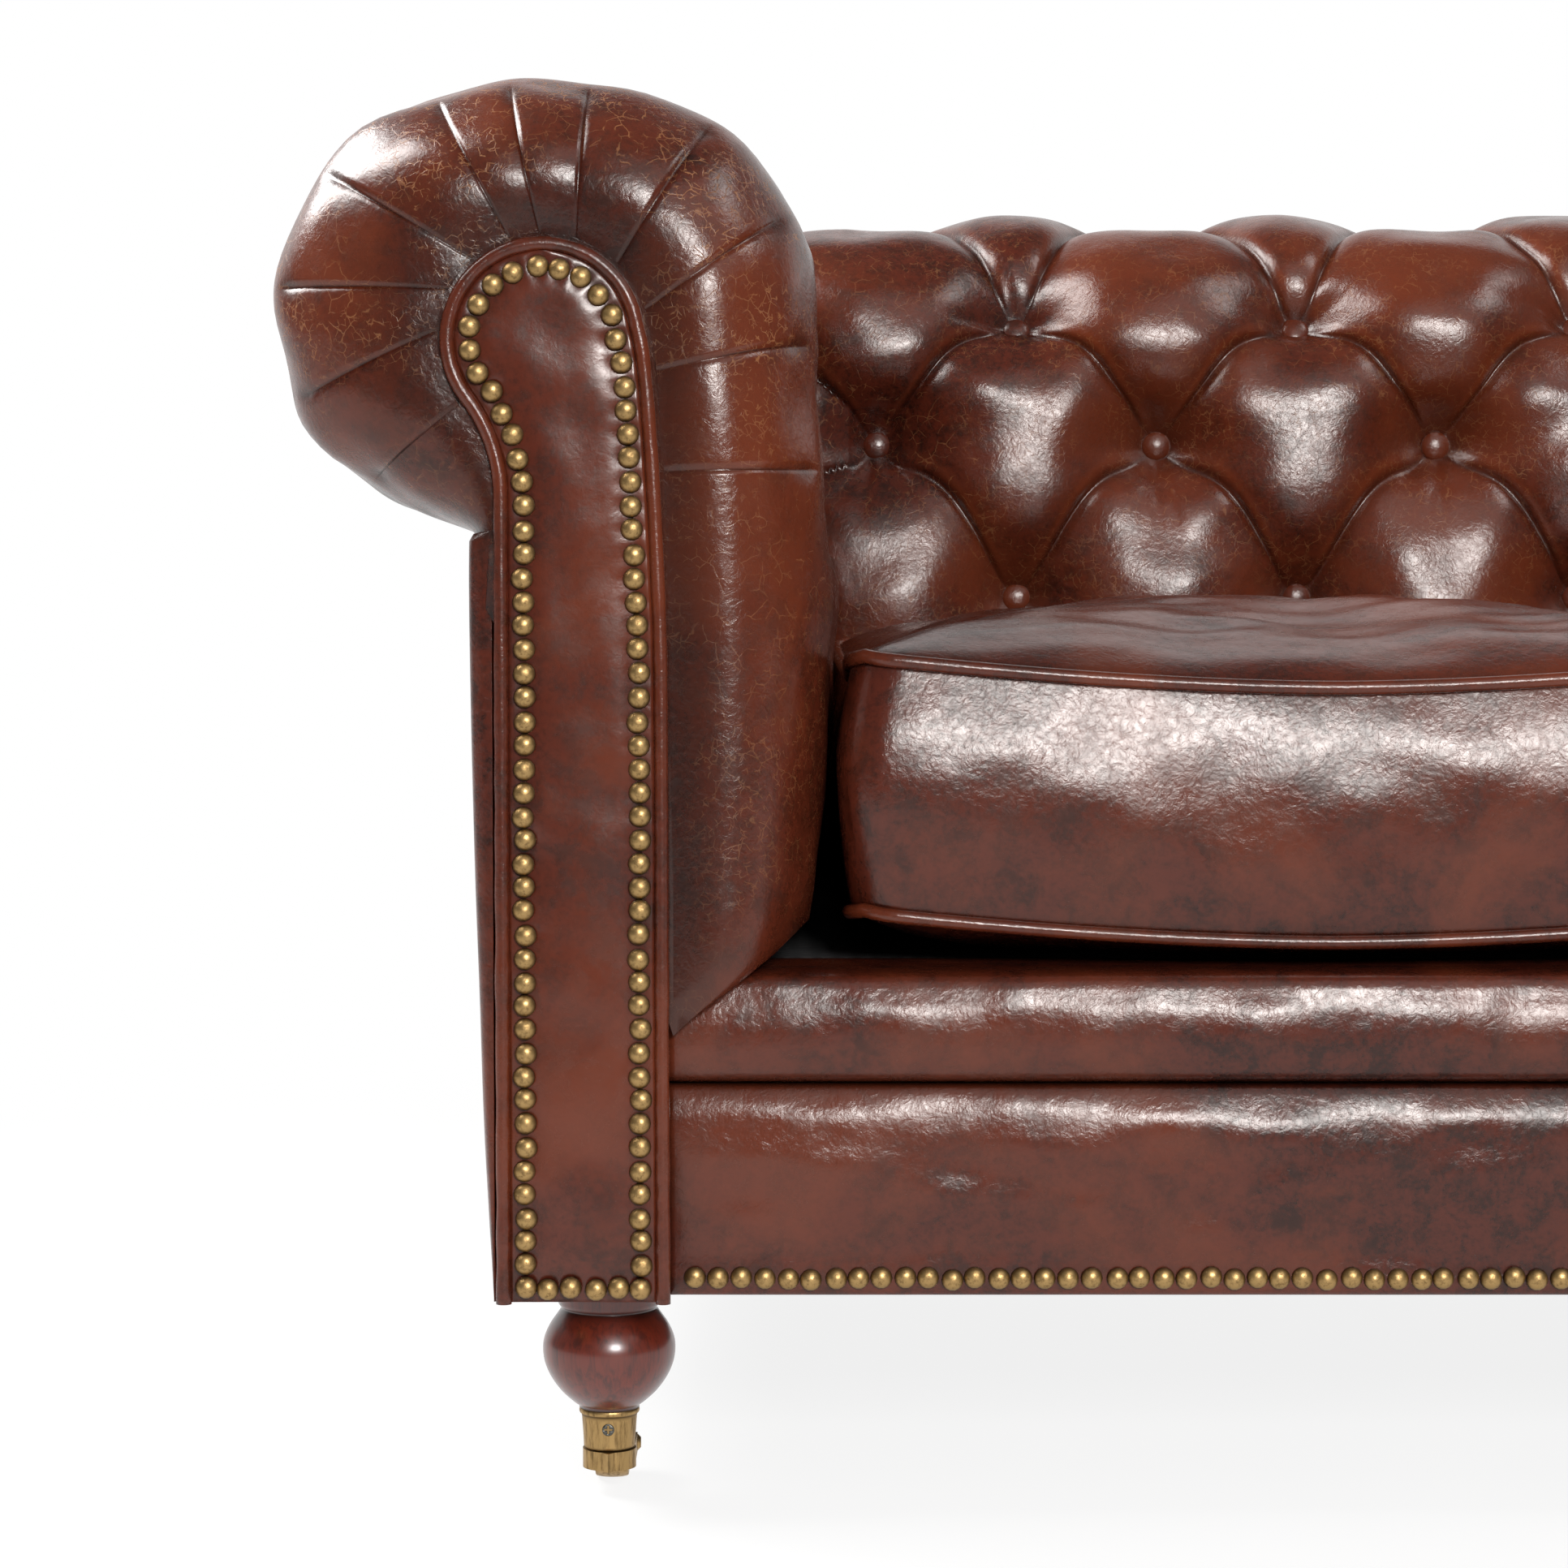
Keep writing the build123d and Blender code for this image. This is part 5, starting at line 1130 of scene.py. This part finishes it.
def cushion_points(sizes, side, seed):
    """Boxed cushion: a crowned top and a shallow underside, each a square grid of shrinking seam
    outlines, and a band between the two seams that bulges as a half sine. Seams rise at corners.
    Also gives the two lines of the seams' cords, and how far the seam rises along them."""
    n, rest_z = 84, DECK_TOP + 0.6
    line = np.sin(np.linspace(-np.pi / 2, np.pi / 2, n)) * 0.35 + 0.65 * np.linspace(-1, 1, n)
    a, b = np.meshgrid(line, line, indexing="ij")
    ring = np.maximum(np.maximum(np.abs(a), np.abs(b)), 1e-6)
    x, y = cushion_edge(a / ring, b / ring)
    x, y = x * ring, y * ring
    lift = sizes.corner_lift / MM * np.abs(a / ring * b / ring) ** 1.7
    crown = sizes.cushion_crown / MM * (1 - ring ** 2.7) ** 0.72
    dents = 2.4 * soft_noise(x, y, 170, seed) + 0.9 * soft_noise(x, 1.4 * y, 60, seed + 1)
    top = UPPER_SEAM + lift * ring ** 4 + crown + dents * (1 - ring ** 4)
    foot = LOWER_SEAM + lift * ring ** 4 - (LOWER_SEAM - rest_z) * (1 - ring ** 5) ** 0.8
    foot = np.maximum(foot - 6 * (1 - ring ** 5), rest_z)
    border = grid_border(n, n)
    edge_a, edge_b = (a / ring).ravel()[border], (b / ring).ravel()[border]
    share = np.linspace(0, 1, 34)[:, None]
    swell = (9.5 + 3.0 * smooth_step(-edge_b, 0.9, 1)) * np.sin(np.pi * share)
    edge_x, edge_y = cushion_edge(edge_a, edge_b)
    lean_x, lean_y = cushion_edge(edge_a, edge_b, 10.0)
    out = np.stack([lean_x - edge_x, lean_y - edge_y])
    out = out / np.linalg.norm(out, axis=0)
    edge_lift = lift.ravel()[border]
    around = place_lengths(np.stack([edge_x, edge_y], -1))
    band_z = LOWER_SEAM + edge_lift + share * (UPPER_SEAM - LOWER_SEAM)
    bulge = swell + np.sin(np.pi * share) * (1.5 * soft_noise(around, 1.5 * band_z, 190, seed + 2)
                                             + 0.45 * soft_noise(around, band_z, 60, seed + 3))
    band = np.stack([edge_x + out[0] * bulge, edge_y + out[1] * bulge, band_z], -1)
    centre = np.array([side * CUSHION_CENTRE[0], CUSHION_CENTRE[1], 0])
    parts = [np.stack([x, y, top], -1).reshape(-1, 3) + centre,
             np.stack([x, y, foot], -1).reshape(-1, 3) + centre, band.reshape(-1, 3) + centre]
    count = n * n
    faces = grid_faces(n, n, wrap_cols=False)
    faces += (np.array(faces)[:, ::-1] + count).tolist()
    faces += (np.array(grid_faces(*band_z.shape)) + 2 * count).tolist()
    # Painted shade along the seams, beside the cords
    near = np.exp(-(1 - ring) / 0.02)
    at_seam = np.exp(-np.minimum(share, 1 - share) / 0.03)
    at_seam, middle = (np.broadcast_to(v, band_z.shape) for v in (at_seam, np.sin(np.pi * share)))
    crease = 0.6 * np.r_[near.ravel(), near.ravel(), at_seam.ravel()]
    rub_and_highlight = np.r_[0.15 * (1 - near.ravel()), np.zeros(count), 0.2 * middle.ravel()]
    stand = 1.6
    cord_x, cord_y = edge_x + out[0] * stand, edge_y + out[1] * stand
    loops = [np.stack([cord_x, cord_y, z + edge_lift], -1) + centre
             for z in (LOWER_SEAM - 1.5, UPPER_SEAM + 1.5)]
    return np.vstack(parts), faces, {"crease": crease, "rub_and_highlight": rub_and_highlight}, loops, edge_lift


class SOFA_OT_cushions(SofaOperator, bpy.types.Operator):
    """Make the loose boxed cushions with piped seams"""
    bl_idname = "sofa.cushions"
    bl_label = "Cushions"

    def execute(self, context):
        sizes = context.scene.sofa_sizes
        sides = 12
        for side, name in SIDES:
            body = f"seat_cushion_{name}"
            points, faces, values, loops, lift = cushion_points(sizes, side, 73 + side)
            leather_piece(f"boxed_cushion_{name}", [f"cushion_{name}"], points, faces, values,
                          0.7, body)
            rings, rub_and_highlight, faces, count = [], [], [], 0
            for loop in loops:
                loop = np.vstack([loop, loop[:1]])
                run = place_lengths(loop)
                places = np.linspace(0, run[-1], 420)[:-1]
                worn = np.interp(places, run, np.r_[lift, lift[:1]])
                ring = tube(points_at(loop, run, places), 3.9, (0, 0, 1), sides, closed=True)
                faces += (np.array(grid_faces(*ring.shape[:2], wrap_rows=True)) + count).tolist()
                rings.append(ring.reshape(-1, 3))
                count += len(rings[-1])
                rub_and_highlight.append(np.repeat(0.3 + 0.7 * smooth_step(worn, 13, 17), sides))
            leather_piece(f"cushion_cords_{name}", [f"cushion_piping_{name}"], np.vstack(rings), faces,
                          {"rub_and_highlight": np.concatenate(rub_and_highlight)}, body=body)
        return {"FINISHED"}


class SOFA_OT_deck(SofaOperator, bpy.types.Operator):
    """Make the cloth-covered seat deck under the cushions"""
    bl_idname = "sofa.deck"
    bl_label = "Seat deck"

    def execute(self, context):
        low, high = (np.array(v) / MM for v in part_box("seat_deck"))
        x = np.linspace(low[0], high[0], 150)[:, None]
        y = np.linspace(low[1], high[1], 90)[None]
        edge = np.minimum(np.minimum(x - low[0], high[0] - x), np.minimum(y - low[1], high[1] - y))
        # Rounded edges, and a stitched hollow 60 mm behind the front
        stitch = np.exp(-(np.minimum(y - low[1], 90) - 60) ** 2 / 14)
        z = high[2] - 0.4 - 5 * np.exp(-edge / 6) - 1.2 * stitch
        top, base = (np.stack(np.broadcast_arrays(x, y, level), -1).reshape(-1, 3)
                     for level in (z, np.full(z.shape, low[2])))
        border, count = grid_border(*z.shape), z.size
        faces = grid_faces(*z.shape, wrap_cols=False)
        faces += (np.array(faces)[:, ::-1] + count).tolist()
        faces += wall_faces(border, border + count)
        make_piece("seat_deck_pad", np.vstack([top, base]), faces, "woven_black_lining", "sofa",
                   ["seat_deck"])
        return {"FINISHED"}


LEG_SPOTS = {name: ((ARM_LINE - 11) * (-1 if "left" in name else 1),
                    FRONT_Y + 68 if "front" in name else BACK_Y - 11) for name in LEGS}
TRAIL, AXLE_Z = 34.5, 19.0            # an axle's distance behind its swivel, and its height


class SOFA_OT_legs(SofaOperator, bpy.types.Operator):
    """Turn the bun legs"""
    bl_idname = "sofa.legs"
    bl_label = "Legs"

    def execute(self, context):
        profile = np.vstack([
            [(4.2, 119.6), (27.2, 119.6)], smooth_line([(27.6, 118.5), (28.1, 111), (27.5, 104)], 6),
            smooth_line([(26.4, 102.6), (25.9, 101.6), (26.6, 100.4)], 3),
            smooth_line([(28.6, 97.6), (32.4, 92), (35.2, 85.5), (36, 79.5), (35, 72), (31.8, 64.5),
                         (26.5, 57), (20.5, 51.3), (17.2, 48.8)], 5),
            [(16.4, 48), (16.4, 47.2), (12.2, 47), (12.2, 32)]])
        sides = 64
        points, faces = merged([lathe(profile, (*LEG_SPOTS[name], 0), 2, sides) for name in LEGS])
        groove = np.maximum(bell(profile[:, 1], 101.6, 1.6), bell(profile[:, 1], 47.5, 1.5))
        crease = np.tile(np.repeat(0.9 * groove, sides), len(LEGS))
        make_piece("turned_legs", points, faces, "varnished_stained_wood", "sofa", ["legs"],
                   {"crease": crease})
        return {"FINISHED"}


def screw_shape(sides=32):
    """Screw head with a cross slot: a shallow dome on a drum, whose points in the slot lie lower.
    Also says which points are in the slot or on the drum's foot."""
    head_radius = 3.3
    radius = np.linspace(0.05, 1, 9)[:, None] * head_radius
    turn = np.linspace(0, 2 * np.pi, sides, endpoint=False)[None]
    x, y = radius * np.cos(turn), radius * np.sin(turn)
    slot = np.minimum(np.abs(x), np.abs(y)) < 0.55
    slot &= np.maximum(np.abs(x), np.abs(y)) < 2.2
    head = np.stack([x, y, 0.9 * np.sqrt(1 - (radius / 3.6) ** 2) - 1.1 * slot], -1)
    foot = np.stack([x[-1], y[-1], np.full(sides, -4.0)], -1)[None]
    return np.concatenate([head, foot]), np.r_[slot.ravel(), np.ones(sides)]


class SOFA_OT_castors(SofaOperator, bpy.types.Operator):
    """Make the castors' cups, screws and wheels and finish their horns"""
    bl_idname = "sofa.castors"
    bl_label = "Castors"

    def execute(self, context):
        sides = 48
        cup = np.vstack([
            [(4.4, 25.1), (13.4, 25.1)],
            smooth_line([(14, 25.8), (14.15, 30), (14.6, 37), (15.0, 42.5)], 4),
            smooth_line([(15.3, 43.6), (16.2, 44.4), (16.45, 45.6), (16.1, 46.7), (15.2, 47.1)], 4),
            [(12.8, 47.0), (12.8, 30)]])
        points, faces = merged([lathe(cup, (*LEG_SPOTS[name], 0), 2, sides) for name in LEGS])
        dark = np.maximum(bell(cup[:, 1], 43.4, 0.9), bell(cup[:, 1], 25.2, 0.9))
        make_piece("brass_cups", points, faces, "aged_brass_castors", "sofa", ["castor_cups"],
                   {"crease": np.tile(np.repeat(0.85 * dark, sides), len(LEGS))})
        shape, dark = screw_shape()
        across, up, out = np.array([(1.0, 0, 0), (0, 0, 1), (0, -1, 0)])
        frames = [(np.array([x, y - 14.55, 37.1]), across, up, out) for x, y in LEG_SPOTS.values()]
        points, faces = copies((shape, closed_faces(shape)), frames)
        make_piece("cup_screws", points, faces, "zinc_plated_steel", "sofa", ["castor_screws"],
                   {"crease": np.tile(dark, len(LEGS))})
        tread = np.vstack([
            [(3.3, -9), (7.0, -9), (7.2, -7), (14.6, -7)],
            smooth_line([(14.8, -8.9), (17.6, -9), (18.4, -7.2), (18.85, -4), (19, 0), (18.85, 4),
                         (18.4, 7.2), (17.6, 9), (14.8, 8.9)], 4),
            [(14.6, 7), (7.2, 7), (7.0, 9), (3.3, 9)]])
        hollow = (np.abs(tread[:, 1]) < 7.1) & (tread[:, 0] < 15)
        for name, (x, y) in LEG_SPOTS.items():
            ring = lathe(tread, (x, y + TRAIL, AXLE_Z), 0, sides)
            make_piece(f"castor_tread_{name}", ring, grid_faces(*ring.shape[:2], wrap_rows=True),
                       "aged_brass_castors", f"wheel_{name}", [f"castor_wheel_{name}"],
                       {"crease": np.repeat(0.7 * hollow, sides)})
            for part in ("castor_fork", "castor_axle"):
                paint(f"{part}_{name}", "aged_brass_castors")
        return {"FINISHED"}


def paint(node, material):
    """Give a kept node of the frame a finish."""
    slots = frame["nodes"][node].data.materials
    slots.clear()
    slots.append(finish(material))


class SOFA_OT_frame(SofaOperator, bpy.types.Operator):
    """Finish the wooden frame, its bolts and its cloth"""
    bl_idname = "sofa.frame"
    bl_label = "Inner frame"

    def execute(self, context):
        finishes = {"frame_wood": "planed_hardwood", "lining": "woven_black_lining",
                    "steel": "zinc_plated_steel"}
        for part in frame["record"]["subparts"]:
            if part["material_slot"] in finishes and not frame["nodes"][part["node"]].hide_render:
                paint(part["node"], finishes[part["material_slot"]])
        return {"FINISHED"}


def studio_world(scene):
    """White surroundings that the camera sees and that give the object little light."""
    scene.world = scene.world or bpy.data.worlds.new("studio")
    scene.world.use_nodes = True
    scene.world.node_tree.nodes.clear()
    add = functools.partial(add_node, scene.world.node_tree)
    path = add("LightPath", "Is Camera Ray", {}).node.outputs
    seen = add("Math", 0, {0: path["Is Camera Ray"], 1: path["Is Transmission Ray"]},
               operation="MAXIMUM")
    # Gloss sees only a little of the white studio, because it is dark behind the camera
    gloss = add("Math", 0, {0: path["Is Glossy Ray"], 1: 0.1}, operation="MULTIPLY")
    seen = add("Math", 0, {0: seen, 1: gloss}, operation="MAXIMUM")
    strength = add("MapRange", 0, {0: seen, 1: 0.0, 2: 1.0, 3: 0.07, 4: 1.0})
    sky = add("Background", 0, {"Color": (1, 1, 1, 1), "Strength": strength})
    add("OutputWorld", 0, {"Surface": sky})


def studio_floor(scene):
    """Floor of pale paper that bends up into a wall. To the eye it is white, with a little of its
    shading left near the sofa, so that the shadow shows."""
    half_width, bend_start, bend = 7.0, 2.6, 1.2
    turn = np.linspace(0, np.pi / 2, 24)
    curve = np.stack([bend_start + bend * np.sin(turn), bend - bend * np.cos(turn)], -1)
    sweep = np.vstack([[(-2.3, 0)], curve, [(bend_start + bend, 5)]])
    x = np.array([[-half_width, half_width]])
    points = np.stack(np.broadcast_arrays(x, sweep[:, :1], sweep[:, 1:]), -1)
    mesh = bpy.data.meshes.new("studio_floor")
    mesh.from_pydata(points.reshape(-1, 3).tolist(), [], grid_faces(len(sweep), 2, wrap_cols=False))
    mesh.polygons.foreach_set("use_smooth", np.ones(len(mesh.polygons), bool))
    material, add, ground = new_material("studio_paper")
    paper = add("BsdfDiffuse", 0, {"Color": solid(scene.sofa_colours.floor)})
    glow = add("Emission", 0, {"Color": (1, 1, 1, 1), "Strength": 1.0})
    path = add("LightPath", "Is Camera Ray", {}).node.outputs
    seen = path["Is Camera Ray"]
    for kind in ("Is Glossy Ray", "Is Transmission Ray"):
        seen = add("Math", 0, {0: seen, 1: path[kind]}, operation="MAXIMUM")
    away = add("VectorMath", "Value", {0: ground}, operation="LENGTH")
    away = add("MapRange", 0, {0: away, 1: 1.1, 2: 1.65, 3: 0.86, 4: 1.0},
               interpolation_type="SMOOTHSTEP")
    share = add("Math", 0, {0: seen, 1: away}, operation="MULTIPLY")
    both = add("MixShader", 0, {0: share, 1: paper, 2: glow})
    add("OutputMaterial", 0, {"Surface": both})
    mesh.materials.append(material)
    floor = bpy.data.objects.new("studio_floor", mesh)
    scene.collection.objects.link(floor)


# Each light's name, place, aim, width and height in metres, and watts
LIGHTS = (("key_softbox", (0.38, -4.5, 1.9), (-0.3, -0.2, 0.45), 1.15, 0.9, 180),
          ("fill_softbox", (0.5, -1.9, 2.4), (-0.4, -0.3, 0.4), 2.6, 1.6, 12),
          ("right_softbox", (1.0, -0.4, 2.2), (-0.6, -0.4, 0.7), 0.6, 0.6, 9),
          ("left_softbox", (-1.9, -0.3, 2.2), (-0.7, -0.3, 0.6), 0.8, 0.9, 42),
          ("rim_softbox", (-2.4, 0.68, 2.0), (-0.8, -0.3, 0.65), 1.2, 0.9, 54))
CAMERA_PLACE, CAMERA_DIP = (-0.5605, -2.35125, 0.486), 2.94


class SOFA_OT_stage(SofaOperator, bpy.types.Operator):
    """Set the studio: pale floor and wall, soft lights and the camera"""
    bl_idname = "sofa.stage"
    bl_label = "Studio"

    def execute(self, context):
        scene = context.scene
        scene.view_settings.view_transform = "Standard"
        studio_world(scene)
        studio_floor(scene)
        for name, place, aim, wide, tall, watts in LIGHTS:
            lamp = bpy.data.lights.new(name, "AREA")
            lamp.shape, lamp.size, lamp.size_y, lamp.energy = "RECTANGLE", wide, tall, watts
            holder = bpy.data.objects.new(name, lamp)
            scene.collection.objects.link(holder)
            holder.location = place
            ahead = Vector(aim) - Vector(place)
            holder.rotation_euler = ahead.to_track_quat("-Z", "Y").to_euler()
        view = bpy.data.cameras.new("front_view")
        view.lens, view.sensor_width, view.sensor_fit = 83.0, 36.0, "HORIZONTAL"
        camera = bpy.data.objects.new("front_view", view)
        scene.collection.objects.link(camera)
        camera.location = CAMERA_PLACE
        camera.rotation_euler = (np.radians(90 - CAMERA_DIP), 0, 0)
        scene.camera = camera
        return {"FINISHED"}


OPERATORS = (SOFA_OT_stage, SOFA_OT_back, SOFA_OT_arms, SOFA_OT_buttons, SOFA_OT_facings,
             SOFA_OT_outsides, SOFA_OT_front, SOFA_OT_cushions, SOFA_OT_deck, SOFA_OT_legs,
             SOFA_OT_castors, SOFA_OT_frame)


class SOFA_PT_panel(bpy.types.Panel):
    """Sidebar panel with the sofa's steps, sizes and colours"""
    bl_idname = "SOFA_PT_panel"
    bl_label = "Leather Sofa"
    bl_space_type = "VIEW_3D"
    bl_region_type = "UI"
    bl_category = "Sofa"

    def draw(self, context):
        for step in OPERATORS:
            self.layout.operator(step.bl_idname)
        for group in (context.scene.sofa_sizes, context.scene.sofa_colours):
            box = self.layout.box()
            for name in group.__annotations__:
                box.prop(group, name)


CLASSES = (SofaSizes, SofaColours, *OPERATORS, SOFA_PT_panel)


def register():
    """Register the classes and hang the settings on the scene."""
    for item in CLASSES:
        bpy.utils.register_class(item)
    bpy.types.Scene.sofa_sizes = bpy.props.PointerProperty(type=SofaSizes)
    bpy.types.Scene.sofa_colours = bpy.props.PointerProperty(type=SofaColours)


def unregister():
    """Take the settings and the classes away."""
    del bpy.types.Scene.sofa_sizes, bpy.types.Scene.sofa_colours
    for item in reversed(CLASSES):
        bpy.utils.unregister_class(item)


def main():
    """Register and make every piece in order."""
    register()
    for step in OPERATORS:
        group, name = step.bl_idname.split(".")
        getattr(getattr(bpy.ops, group), name)()


if __name__ == "__main__":
    main()
